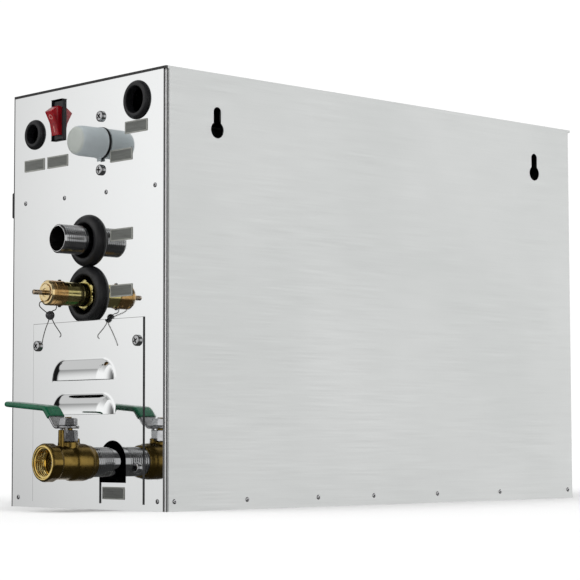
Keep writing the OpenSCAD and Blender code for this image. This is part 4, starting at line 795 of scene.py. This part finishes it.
bm = bmesh.new()
strip(bm, crowded_rows(slope_start, 0.02, 12, slope_start + 3, 7.5, 40),
      lever_outline(LEVER_W / 2 + SLEEVE_T, LEVER_L + SLEEVE_T), -SLEEVE_T, LEVER_T + SLEEVE_T,
      1.7, sleeve_lip)
bmesh.ops.holes_fill(bm, edges=[e for e in bm.edges if e.is_boundary], sides=0)
on_end(bm, bm.verts, DRAIN, STEM_REACH)
keep_piece("lever_sleeve_dipped", "lever_sleeve", bm, "drain_lever", "green_sleeve", green_vinyl,
           smooth_below=50)

# %% [markdown]
# ## Safety valve
# The safety valve is turned from brass bar: a hexagon to hold it by, and a round body with a
# blow hole. The hexagon is pressed into the turned part as before, and the blow hole is drilled
# with a boolean.

# %% Body of the safety valve
bm = bmesh.new()
verts = turned(bm, [(-37.5, 3.5), (-37.5, 8), (-3, 8), (-3, 9.8), (-2.5, 11.6), (3.2, 11.6),
                    (3.7, 11), (4.2, 9.8), (4.2, 8.7), (4.6, 8.5), (9.2, 8.5), (9.4, 8.35),
                    (9.8, 8.35), (10, 8.5), (20.6, 8.5), (20.8, 8.3), (21.3, 8.3), (21.5, 8.5),
                    (23.6, 8.5), (24, 8.2), (24, 7), (27, 7), (27, 5.6), (9, 5.6), (9, 3.5)], 144)
press_flats(verts, 6, 11.6 * math.cos(math.pi / 6), -3.1, 4.3)
drill = bmesh.new()
made = rod(drill, 6.5, 10, 2, 48)
swing(drill, made, -90, "Z")
shift(drill, made, 13, 0, 0)
bm = carved(bm, drill)
on_end(bm, bm.verts, SAFETY)
keep_piece("safety_valve_barrel", "safety_valve_body", bm, "casing", "olive_brass", olive_brass,
           smooth_below=30)

# %% [markdown]
# The bonnet covers the end of the body. It has a face ring round the stem's hole, a hole in its
# face and one below for the two seal wires, and two pins through its wall.

# %% Bonnet with its face ring and two pins
FACE, PIN_REACH = 37.8, 25.7
bm = bmesh.new()
turned(bm, [(24, 7.05), (24, 8.7), (24.3, 9), (26.9, 9), (27.1, 8.8), (27.4, 8.8), (27.6, 9),
            (33.4, 9), (33.6, 8.75), (34.1, 8.75), (34.3, 9), (FACE - 1.3, 9), (FACE - 0.25, 8.15),
            (FACE, 7.9), (FACE, 6.9), (FACE - 0.35, 6.75), (FACE - 0.35, 6.35), (FACE, 6.1),
            (38.35, 6.1), (38.6, 5.8), (38.6, 3.1), (38.2, 2.8), (38.2, 1.85), (34.8, 1.85),
            (34.8, 5.6), (27.1, 5.6), (27.1, 7.05)], 128)
drill = bmesh.new()
shift(drill, rod(drill, FACE - 2.2, FACE + 1, 0.55, 24), 0, -4.4, -6.2)
bm = carved(bm, drill)
drill = bmesh.new()
made = rod(drill, -10, -5.9, 0.6, 24)
upright(drill, made)
shift(drill, made, 28.2, 0, 0)
bm = carved(bm, drill)
for half_turn in (180, 0):
    made = turned(bm, [(8, 0), (8, 1.2), (9.5, 1.2), (9.8, 0.95), (9.9, 0.5), (9.9, 0)], 32)
    upright(bm, made)
    swing(bm, made, half_turn, "X")
    shift(bm, made, PIN_REACH, 0, 0)
    # The two pins are near black, in the same finish as the painted shade of the hollows
    for face in {f for v in made for f in v.link_faces}:
        face.material_index = 1
bm.normal_update()
# Faces turned towards the end take the painted highlight
for face in bm.faces:
    if face.normal.x > 0.4 and face.calc_center_median().x > (FACE - 2) * MM:
        face.material_index = 2
on_end(bm, bm.verts, SAFETY)
keep_piece("safety_valve_cap", "safety_valve_bonnet", bm, "casing", "brass", bonnet_brass,
           hollow_shade_and_dark_pins, bonnet_painted_highlight, smooth_below=30)

# %% [markdown]
# The stem slides out when the valve is tested, so it rides on its own body. Only its end is
# seen: a thin rod with a groove for a ring, and a rounded tip.

# %% Test stem
bm = bmesh.new()
turned(bm, [(9, 0), (9, 5), (10.5, 5), (10.5, 1.8), (43, 1.8), (43.2, 1.45), (43.9, 1.45),
            (44.1, 1.8), (45.6, 1.8), (45.8, 1.5), (46.3, 1.5), (46.5, 1.8), (48.2, 1.8),
            (48.6, 1.5), (48.7, 1.1), (48.7, 0)], 64)
on_end(bm, bm.verts, SAFETY)
keep_piece("safety_valve_rod", "safety_valve_stem", bm, "test_stem", "brass", rod_bronze)

# %% [markdown]
# ## Lead seal
# The seal is a lead pellet, squeezed on the two wires by sealing pliers. It is turned as a
# cushion, and three soft dents round it are left by the jaws.

# %% Pressed pellet
PELLET_HALF, PELLET_R = 2.6, 3.3
bm = bmesh.new()
cushion = [(PELLET_HALF * math.copysign(abs(math.cos(t)) ** 0.8, -math.cos(t)),
            PELLET_R * math.sin(t) ** 0.8) for t in angles(0, 180, 9)]
verts = turned(bm, cushion[:-1] + [(PELLET_HALF, 0)], 48)
for v in verts:
    widen(v, 1 - 0.02 * (1 + math.cos(3 * math.atan2(v.co.z, v.co.y) + 0.6)))
swing(bm, verts, 45, "Z")
shift(bm, verts, END + 27.5, -6, SAFETY[1] - 15.4)
keep_piece("lead_seal_pressed", "lead_seal", bm, "casing", "lead", dull_lead, smooth_below=50)

# %% [markdown]
# ## Rubber grommets
# Each grommet is moulded rubber with a soft, domed lip outside the panel, a neck in its hole and
# a smaller lip inside. The dome is a quarter of an ellipse in the turned profile. The grommet of
# the safety valve is cut flat where the access panel begins, with a bisecting plane. The two
# large lips are pressed against each other, so a plane between them cuts both.

# %% Grommets
def grommet(name, node_name, place, hole, lip, height, neck, inner, flats=()):
    round_in, ledge, back = 0.22 * (lip - hole), hole + neck, -1.2 - inner
    crown = lip - hole - round_in - 0.3
    profile = [(back, hole), (height - round_in, hole)]
    profile += [(height - round_in + round_in * math.sin(t), hole + round_in - round_in
                 * math.cos(t)) for t in angles(15, 90, 15)]
    profile += [(height * math.cos(t), lip - crown + crown * math.sin(t))
                for t in angles(6, 84, 6)]
    profile += [(height * 0.06, lip), (0.02, lip - 0.25), (0.02, ledge), (-1.22, ledge),
                (-1.22, ledge + 1.8), (back + 0.4, ledge + 1.8), (back, ledge + 1.4)]
    bm = bmesh.new()
    on_end(bm, turned(bm, profile, 128), place)
    for height_cut, away in flats:
        everything = bm.verts[:] + bm.edges[:] + bm.faces[:]
        cut = bmesh.ops.bisect_plane(bm, geom=everything, plane_co=(0, 0, height_cut * MM),
                                     plane_no=(0, 0, away), clear_outer=True)["geom_cut"]
        rim = [g for g in cut if isinstance(g, bmesh.types.BMEdge)]
        bmesh.ops.holes_fill(bm, edges=rim, sides=0)
    keep_piece(name, node_name, bm, "casing", "black_rubber", black_rubber, smooth_below=40)


PRESSED, PANEL_TOP = 174.75, 135.56
grommet("control_grommet_moulded", "control_cable_grommet", (-63, 278), 7, 11.3, 3.2, 2, 2.4)
grommet("power_grommet_moulded", "power_cable_grommet", (58.2, 289.5), 9.5, 14, 3.2, 2, 2.4)
grommet("steam_grommet_moulded", "steam_pipe_grommet", STEAM, 12.4, 19.1, 5.4, 1.6, 3,
        [(PRESSED, -1)])
grommet("safety_grommet_moulded", "safety_valve_grommet", SAFETY, 14, 21.5, 5.6, 1.6, 3,
        [(PRESSED, 1), (PANEL_TOP, -1)])

# %% [markdown]
# ## Transport cap on the water inlet
# A thin milky cap keeps dirt out of the inlet until the box is fitted. It is turned as a
# thimble with a blunt nose, a bead at its mouth, and a small tab below to pull it by. A thin
# rubber ring lies at the root of the inlet.

# %% Transport cap and ring
CAP_R, CAP_REACH, CAP_SEAT, CAP_WALL, NOSE = 10.95, 24.8, 1.1, 0.7, 3.4


def nose_curve(radius, start, end, step):
    return [(CAP_REACH - NOSE - 0.5 + radius * math.cos(math.radians(a)),
             CAP_R - NOSE - 0.5 + radius * math.sin(math.radians(a)))
            for a in rows(start, end, step)]


bm = bmesh.new()
turned(bm, [(CAP_SEAT, CAP_R + 0.3), (CAP_SEAT + 0.25, CAP_R + 0.5), (CAP_SEAT + 0.75, CAP_R + 0.5),
            (CAP_SEAT + 1, CAP_R + 0.15), (CAP_SEAT + 1.3, CAP_R), (16.5, CAP_R),
            (19, CAP_R - 0.12)] + nose_curve(NOSE, 80, 12, 4.86)
       + [(CAP_REACH - 0.25, CAP_R - NOSE - 1.2), (CAP_REACH - 0.08, 3.5), (CAP_REACH, 0),
          (CAP_REACH - CAP_WALL - 0.5, 0)] + nose_curve(NOSE - CAP_WALL, 0, 90, 7.5)
       + [(CAP_SEAT, CAP_R - CAP_WALL)])
tab = block(bm, 1, 4.6, 2.6)
shift(bm, tab, CAP_SEAT + 0.5, 0, -(CAP_R + 1.1))
round_edges(bm, edges_of(bm, tab), 0.35, 3)
on_end(bm, bm.verts, INLET)
keep_piece("transport_cap_moulded", "inlet_transport_cap", bm, "transport_cap", "grey_cap",
           grey_cap, smooth_below=40)

bm = bmesh.new()
turned(bm, [(0.02, 9.6), (0.02, 11.5), (0.3, 11.65), (0.7, 11.5), (0.95, 11.2), (0.95, 9.6)])
on_end(bm, bm.verts, INLET)
keep_piece("inlet_ring_moulded", "inlet_root_ring", bm, "casing", "black_rubber", black_rubber)

# %% [markdown]
# ## Power switch
# The rocker switch has a black frame with a soft edge. The frame starts as a cube, whose front
# face is inset and pushed back, so the rocker has room to move.

# %% Frame of the switch
FRAME_DEEP, FRAME_RIM, WELL = 2, 2.2, 17
bm = bmesh.new()
block(bm, FRAME_DEEP, 14, 31)
round_edges(bm, edges_along_x(bm), 1, 4)
front = max(bm.faces, key=lambda f: f.calc_center_median().x)
bmesh.ops.inset_region(bm, faces=[front], thickness=FRAME_RIM * MM, depth=0)
shift(bm, front.verts[:], -WELL, 0, 0)
outer = [e for e in bm.edges if all(abs(v.co.x - 1 * MM) < 0.01 * MM for v in e.verts)]
round_edges(bm, outer, 0.45, 3)
on_end(bm, bm.verts, SWITCH, FRAME_DEEP / 2)
keep_piece("switch_frame", "switch_housing", bm, "casing", "black_plastic", black_plastic,
           smooth_below=40)

# %% [markdown]
# The red rocker has two sloping faces that meet in a shallow valley. It starts as an eight-sided
# face across the axle, drawn out along it, and is turned to the side that is pressed in.

# %% Red rocker
TIP_R, TIP_TURN, VALLEY, ROCKED, AXLE = 12.6, math.radians(42.7), 7.2, 20, -1.5
tip = (TIP_R * math.sin(TIP_TURN), TIP_R * math.cos(TIP_TURN))
half = [tip, (TIP_R * 0.073, TIP_R * 0.898), (-TIP_R * 0.219, TIP_R * 0.73)]
outline = [(VALLEY, 0)] + half + [(-TIP_R * 0.328, 0)] + [(x, -z) for x, z in reversed(half)]
bm = bmesh.new()
side = bm.faces.new([bm.verts.new((x * MM, -4.6 * MM, z * MM)) for x, z in outline])
thicken(bm, [side], (0, 8.3, 0))
bmesh.ops.recalc_face_normals(bm, faces=bm.faces)
round_edges(bm, [e for e in bm.edges if e.calc_face_angle(0) > 0.4], 0.5, 4, clamp=True)
swing(bm, bm.verts, ROCKED, "Y")
on_end(bm, bm.verts, SWITCH, AXLE)
keep_piece("red_rocker", "switch_rocker", bm, "rocker", "red_rocker", red_plastic,
           smooth_below=50)

# %% [markdown]
# The rocker's two faces carry the usual signs of a switch, a bar for on and a ring for off,
# moulded slightly proud in a paler plastic. A sign is made in the plane X = 0, then laid on the
# upper (1) or the lower (-1) face.

# %% On and off marks
def on_rocker_face(bm, verts, sign):
    swing(bm, verts, sign * math.degrees(math.atan2(tip[0] - VALLEY, tip[1])), "Y")
    shift(bm, verts, (VALLEY + tip[0]) / 2 + 0.02, 0, sign * tip[1] / 2)
    swing(bm, verts, ROCKED, "Y")


bm = bmesh.new()
on_rocker_face(bm, block(bm, 0.16, 0.8, 4.6), -1)
on_rocker_face(bm, turned(bm, [(-0.08, 1.3), (-0.08, 1.95), (0.08, 1.95), (0.08, 1.3)], 40), 1)
on_end(bm, bm.verts, SWITCH, AXLE)
keep_piece("rocker_marks", None, bm, "rocker", "white_plastic", mark_pale)

# %% [markdown]
# ## Small parts that repeat
# Name plates, screws and rivets are each made once, facing along X, and copied to their places.
# A place says where the copy goes, which way it faces, and how far it is turned, since real
# screws stop at different angles.

# %% Helper that sets copies of a small part
AHEAD, BACK, FRONT, UP = (1, 0, 0), (0, 1, 0), (0, -1, 0), (0, 0, 1)


def copies(part_bm, places):
    part = bpy.data.meshes.new("small_part")
    part_bm.to_mesh(part)
    part_bm.free()
    bm = bmesh.new()
    for place, out, turn in places:
        before = set(bm.verts)
        bm.from_mesh(part)
        verts = [v for v in bm.verts if v not in before]
        face_out = Vector(AHEAD).rotation_difference(Vector(out)).to_matrix()
        own_turn = Matrix.Rotation(math.radians(turn), 3, "X")
        bmesh.ops.rotate(bm, verts=verts, cent=(0, 0, 0), matrix=face_out @ own_turn)
        shift(bm, verts, *place)
    bpy.data.meshes.remove(part)
    return bm


# %% [markdown]
# Seven small plates name the connections on the real box. Here they are bare: a thin plate
# with a raised, lighter frame round a darker field. An inset makes the frame, and a small push
# sinks the field.

# %% Bare name plates
PLATE_PLACES = [(-63.5, 255), (-34.9, 255), (40.4, 252), (57.2, 270.8), (41, 195.2),
                (41, 155.2), (32.9, 11.9)]
bm = bmesh.new()
block(bm, 0.4, 25, 8.8)
round_edges(bm, edges_along_x(bm), 0.6, 3)
front = max(bm.faces, key=lambda f: f.calc_center_median().x)
bmesh.ops.inset_region(bm, faces=[front], thickness=0.9 * MM, depth=0)
bmesh.ops.inset_region(bm, faces=[front], thickness=0.15 * MM, depth=-0.15 * MM)
front.material_index = 1
keep_piece("name_plates_framed", "name_plates",
           copies(bm, [((END + 0.2, y, z), AHEAD, 0) for y, z in PLATE_PLACES]), "casing",
           "plate_grey", plate_frame, plate_grey, smooth_below=30)

# %% [markdown]
# ## Louvred access panel
# The access panel is one pressed sheet. Two louvres are cut along their lower edge and pressed
# out, so that air leaves and water can't fall in. A hood's shape is a bar with ball ends, sunk
# in the sheet, with a small fillet round its foot.

# %% Reach of a hood over the sheet
LEFT, RIGHT, FOOT, TOP, SHEET = -62.3, 66.5, 4.5, 135.5, 1
HOOD_Y, MOUTHS = -1, (67.8, 92.6)
HOOD_R, HOOD_SUNK, HOOD_STRAIGHT, FILLET = 20.04, 14.04, 22.2, 0.35


def hood_reach(y, z):
    reach = 0
    for mouth in MOUTHS:
        past = max(0, abs(y - HOOD_Y) - HOOD_STRAIGHT)
        inside = HOOD_R ** 2 - past ** 2 - (z - mouth) ** 2
        over = math.sqrt(max(0, inside)) - HOOD_SUNK
        if z > mouth - 0.01 and over > -FILLET:
            reach = over if over > FILLET else (over + FILLET) ** 2 / (4 * FILLET)
    return reach


def at_a_mouth(v):
    return any(abs(v.co.z - mouth) < 0.001 for mouth in MOUTHS)


# %% [markdown]
# A grid of the sheet, here in millimetres, has one row moved onto each mouth. The grid is split
# along the mouths first, so only the metal above a mouth moves when the hoods are drawn out.
# Then the sheet gets its thickness.

# %% Draw out the hoods and give the sheet its thickness
bm = bmesh.new()
bmesh.ops.create_grid(bm, x_segments=128, y_segments=131, size=0.5)
for v in bm.verts:
    y, z = LEFT + (v.co.x + 0.5) * (RIGHT - LEFT), FOOT + (v.co.y + 0.5) * (TOP - FOOT)
    v.co = (0, y, next((mouth for mouth in MOUTHS if abs(z - mouth) < 0.5), z))
slits = []
for e in bm.edges:
    a, b = e.verts
    if a.co.z == b.co.z and at_a_mouth(a) and hood_reach((a.co.y + b.co.y) / 2, a.co.z) > 0.02:
        slits.append(e)
bmesh.ops.split_edges(bm, edges=slits)
for v in bm.verts:
    above = any(f.calc_center_median().z < v.co.z for f in v.link_faces)
    if not (above and at_a_mouth(v)):
        v.co.x = hood_reach(v.co.y, v.co.z)
bmesh.ops.scale(bm, verts=bm.verts, vec=(MM, MM, MM))
thicken(bm, bm.faces[:], (SHEET, 0, 0))
print("slits", len(slits), "edges")

# %% [markdown]
# The slot for the drain pipe runs down through the foot of the sheet, so the panel lifts off
# with the pipe in place. Its tool is a round bar whose lower half is pulled down. The panel's
# own finish is the mirror, with dark lines painted along its top and left edges as the shade of
# the gaps there, and its cut edges are painted dark as shade.

# %% Cut the slot and the screw holes
ACCESS_SCREWS = [(2.1 + side * 58.4, z) for side in (-1, 1) for z in (30, 119)]
tool = bmesh.new()
slot = rod(tool, -2, 4, 15.15, 96)
for v in slot:
    if v.co.z < -1e-6:
        v.co.z -= 45 * MM
shift(tool, slot, 0, 32.9, 34)
for y, z in ACCESS_SCREWS:
    shift(tool, rod(tool, -2, 4, 2, 32), 0, y, z)
bm = carved(bm, tool)
bm.normal_update()
# Rims are painted dark as shade; the back takes the cover's satin and its painted dark line
for face in bm.faces:
    face.material_index = 1 if abs(face.normal.x) < 0.5 else 2 * (face.normal.x < 0)
shift(bm, bm.verts, END, 0, 0)
mirror_with_painted_gap_shade = mirror_steel.copy()
mirror_with_painted_gap_shade.name = "mirror_with_painted_gap_shade"
# Painted dark lines along the top and left edges, for the shade of the gaps there
band(mirror_with_painted_gap_shade, "Z", TOP - 0.35, TOP + 1, (0.3, 0.3, 0.3), 0.05)
band(mirror_with_painted_gap_shade, "Y", LEFT - 1, LEFT + 0.3, (0.4, 0.4, 0.4), 0.05)
keep_piece("access_panel_pressed", "access_panel", bm, "casing", "mirror_steel", mirror_with_painted_gap_shade,
           painted_edge_shade, cover_steel, smooth_below=40)

# %% [markdown]
# ## Screws and rivets
# The screws are pan heads with a cross recess. One head is turned, and its cross is cut by two
# tapered bars, one after the other.

# %% Pan head screws with a cross recess
SCREW_IN, HEAD_R, ROW_IN = 214.3, 4, 58.5


def pan_head(height, radius=HEAD_R):
    bm = bmesh.new()
    crown = [(height * (0.5 + 0.5 * math.sin(t)), radius * (0.64 + 0.36 * math.cos(t)))
             for t in angles(0, 90, 15)]
    shank = [(-6, 0), (-6, 1.9), (0, 1.9), (0, radius - 0.1), (0.1, radius)]
    turned(bm, shank + crown + [(height, 0)], 48)
    for turn in (0, 90):
        tool = bmesh.new()
        bar = block(tool, 0.75 * height, 0.27 * radius, 1.16 * radius)
        bmesh.ops.scale(tool, verts=[v for v in bar if v.co.x < 0], vec=(1, 0.6, 0.45))
        shift(tool, bar, 0.625 * height + 0.1, 0, 0)
        swing(tool, bar, turn, "X")
        bm = carved(bm, tool)
    # The cross recess is painted near black as shade
    for face in bm.faces:
        across, reach = radius_and_reach(face.calc_center_median())
        face.material_index = int(across < 0.6 * radius and 0 < reach < height - 0.02)
    return bm


def screws(name, node_name, height, finish, places):
    keep_piece(name, node_name, copies(pan_head(height), places), "casing", "zinc_steel", finish,
               hollow_shade_and_dark_pins)


screws("inlet_screws_crossed", "inlet_valve_screws", 2.3, dark_chrome,
       [((END, 17, 263 + side * 19.5), AHEAD, 25 * side + 20) for side in (-1, 1)])
screws("access_screws_crossed", "access_panel_screws", 2.3, dark_chrome,
       [((END + SHEET, y, z), AHEAD, 3 * y + z) for y, z in ACCESS_SCREWS])
tops = [(x, y) for x in (SCREW_IN, -SCREW_IN) for y in (ROW_IN, -ROW_IN)]
tops += [(111.25, 81.8), (-111.25, 81.8)]
screws("cover_screws_crossed", "cover_screws", 1.3, zinc_plate,
       [((x, y, 310), UP, 40 * y + 9) for x, y in tops]
       + [((side * SCREW_IN, -90, z), FRONT, z) for side in (-1, 1) for z in (42, 155, 268)])

# %% [markdown]
# A blind rivet is a low ring round the broken end of its pin, which lies in a hollow painted
# dark as shade. One is turned, and copies go along the foot and the upper part of the casing.

# %% Blind rivets
bm = bmesh.new()
turned(bm, [(0, 0), (0, 1.7), (0.1, 1.75), (0.3, 1.6), (0.48, 1.3), (0.57, 0.95), (0.6, 0.75),
            (0.52, 0.62), (0.25, 0.58), (0.25, 0.4), (0.32, 0)], 28)
# The hollow round the pin is painted near black as shade
for face in bm.faces:
    radius, reach = radius_and_reach(face.calc_center_median())
    face.material_index = int(radius < 0.66 and reach > 0.01)
ends = [(90 * share, 227) for share in (-0.829, -0.293, 0.256, 0.869)] + [(-81.45, 7), (81.45, 7)]
places = [((side * END, y, z), (side, 0, 0), y) for side in (-1, 1) for y, z in ends]
places += [((END * share, 90, 7), BACK, 300 * share)
           for share in (0.963, 0.659, 0.342, 0.079, -0.24, -0.574, -0.961)]
keep_piece("casing_rivets_domed", "casing_rivets", copies(bm, places), "casing", "zinc_steel",
           zinc_plate, hollow_shade_and_dark_pins, smooth_below=30)

# %% [markdown]
# The front cover has a small black pull near the connection end. It is a moulded block with
# rounded edges, so a cube with its edges bevelled is enough.

# %% Pull on the front cover
bm = bmesh.new()
block(bm, 13.6, 3.15, 19.5)
round_edges(bm, [e for e in bm.edges if not all(v.co.y > 0 for v in e.verts)], 1.2, 4)
shift(bm, bm.verts, END - 7.2, -91.575, 227)
keep_piece("front_pull_moulded", "front_cover_pull", bm, "casing", "black_plastic", black_plastic)

# %% [markdown]
# ## Studio
# Polished metal shows the room it stands in, so the room is drawn by direction. The photograph
# was taken between white screens in a dim studio: flat faces look white, while pipes and
# screws look dark with one bright stripe. The world's nodes first work out the compass angle
# and the height of a direction, in degrees.

# %% Compass angle and height of a direction
world = bpy.data.worlds.new("studio_world")
world.use_nodes = True
bpy.context.scene.world = world
nodes, links = world.node_tree.nodes, world.node_tree.links


def worked_out(operation, *inputs):
    step = nodes.new("ShaderNodeMath")
    step.operation = operation
    for socket, value in zip(step.inputs, inputs):
        if isinstance(value, (int, float)):
            socket.default_value = value
        else:
            links.new(value, socket)
    return step.outputs["Value"]


def product(first, second):
    return worked_out("MULTIPLY", first, second)


parts = nodes.new("ShaderNodeSeparateXYZ")
links.new(nodes.new("ShaderNodeTexCoord").outputs["Generated"], parts.inputs["Vector"])
compass = worked_out("DEGREES", worked_out("ARCTAN2", parts.outputs["Y"], parts.outputs["X"]))
height = worked_out("DEGREES", worked_out("ARCSINE", parts.outputs["Z"]))

# %% [markdown]
# A screen is a soft-edged window in the world, between two compass angles and two heights. A
# gap is the same window, taken away.

# %% A window with soft edges
def soft_edge(angle, start, end, level_start=0, level_end=1):
    edge = nodes.new("ShaderNodeMapRange")
    edge.interpolation_type = "SMOOTHSTEP"
    for name, value in (("From Min", start), ("From Max", end), ("To Min", level_start),
                        ("To Max", level_end)):
        edge.inputs[name].default_value = value
    links.new(angle, edge.inputs["Value"])
    return edge.outputs["Result"]


def window(left, right, bottom, top, soft):
    sides = product(soft_edge(compass, left - soft, left),
                    soft_edge(compass, right, right + soft, 1, 0))
    ends = product(soft_edge(height, bottom - soft, bottom),
                   soft_edge(height, top, top + soft, 1, 0))
    return product(sides, ends)


# %% [markdown]
# A low ring of screens goes all the way round, but for four gaps. A taller screen stands in
# front of the mirror end, another before the back. Behind the object stands a white backdrop.
# Where the camera sees the room itself, it finds the same white on every side.

# %% The screens, from the dim base up
WHITE, BACK_LEVEL = 1.04, 1.37
ring = window(-200, 200, -12, 20, 6)
for gap in ((-116, -72, -90, 90), (-2, 34, -90, 90), (62, 86, -90, 90), (-78, -10, -60, 60)):
    ring = product(ring, worked_out("SUBTRACT", 1, window(*gap, 4)))
side_screen = product(window(-14, 60, -12, 58, 6), soft_edge(compass, -4, 30, 1, 0.1))
high_screen = product(window(-108, -52, 28, 56, 5), 0.62)
front_fade = product(soft_edge(compass, -62, -49, 0.4, 1.03), soft_edge(height, -12, 8, 0.55, 1))
front_top = product(soft_edge(height, 18, 48, 1, 0.5), soft_edge(compass, -67, -61))
front_screen = product(product(window(-80, -10, -14, 50, 6), front_top), front_fade)
back_screen = product(window(90, 172, -10, 29, 3), BACK_LEVEL)
backdrop = product(window(-172, -121, -30, 60, 4), WHITE)
level = worked_out("SUBTRACT", 0.075, product(window(-118, -66, -20, 24, 4), 0.065))
seen = product(nodes.new("ShaderNodeLightPath").outputs["Is Camera Ray"], WHITE)
for screen in (ring, side_screen, high_screen, front_screen, back_screen, backdrop, seen):
    level = worked_out("MAXIMUM", screen, level)
links.new(level, nodes["Background"].inputs["Strength"])
nodes["Background"].inputs["Color"].default_value = (1, 1, 1, 1)
print("world steps", len(nodes))

# %% [markdown]
# The floor is plain white. Metal doesn't mirror the floor or the lamp, just as the photographer
# kept both out of the reflections.

# %% Floor
bm = bmesh.new()
bmesh.ops.create_grid(bm, x_segments=1, y_segments=1, size=12)
floor_mesh = bpy.data.meshes.new("studio_floor")
bm.to_mesh(floor_mesh)
bm.free()
floor = bpy.data.objects.new("studio_floor", floor_mesh)
bpy.context.scene.collection.objects.link(floor)
floor_white = finish_of("floor_white", 0, ((0.85, 0.85, 0.85), (0.87, 0.87, 0.87), 3), (0.9,))
floor_white.node_tree.nodes["Principled BSDF"].inputs["Specular IOR Level"].default_value = 0
floor_mesh.materials.append(floor_white)
floor.visible_glossy = False

# %% [markdown]
# A wide lamp high above, soft as an overcast sky, lights the floor and everything that isn't
# polished. The view transform is the plain one, so that white in the room stays white.

# %% Lamp overhead and view
sky_lamp = bpy.data.lights.new("overhead_lamp", "SUN")
sky_lamp.energy = 2.6
sky_lamp.angle = math.radians(70)
overhead = bpy.data.objects.new("overhead_lamp", sky_lamp)
bpy.context.scene.collection.objects.link(overhead)
overhead.rotation_euler = (math.radians(-12), math.radians(14), 0)
overhead.visible_glossy = False
bpy.context.scene.view_settings.view_transform = "Standard"
print("overhead lamp", sky_lamp.energy)
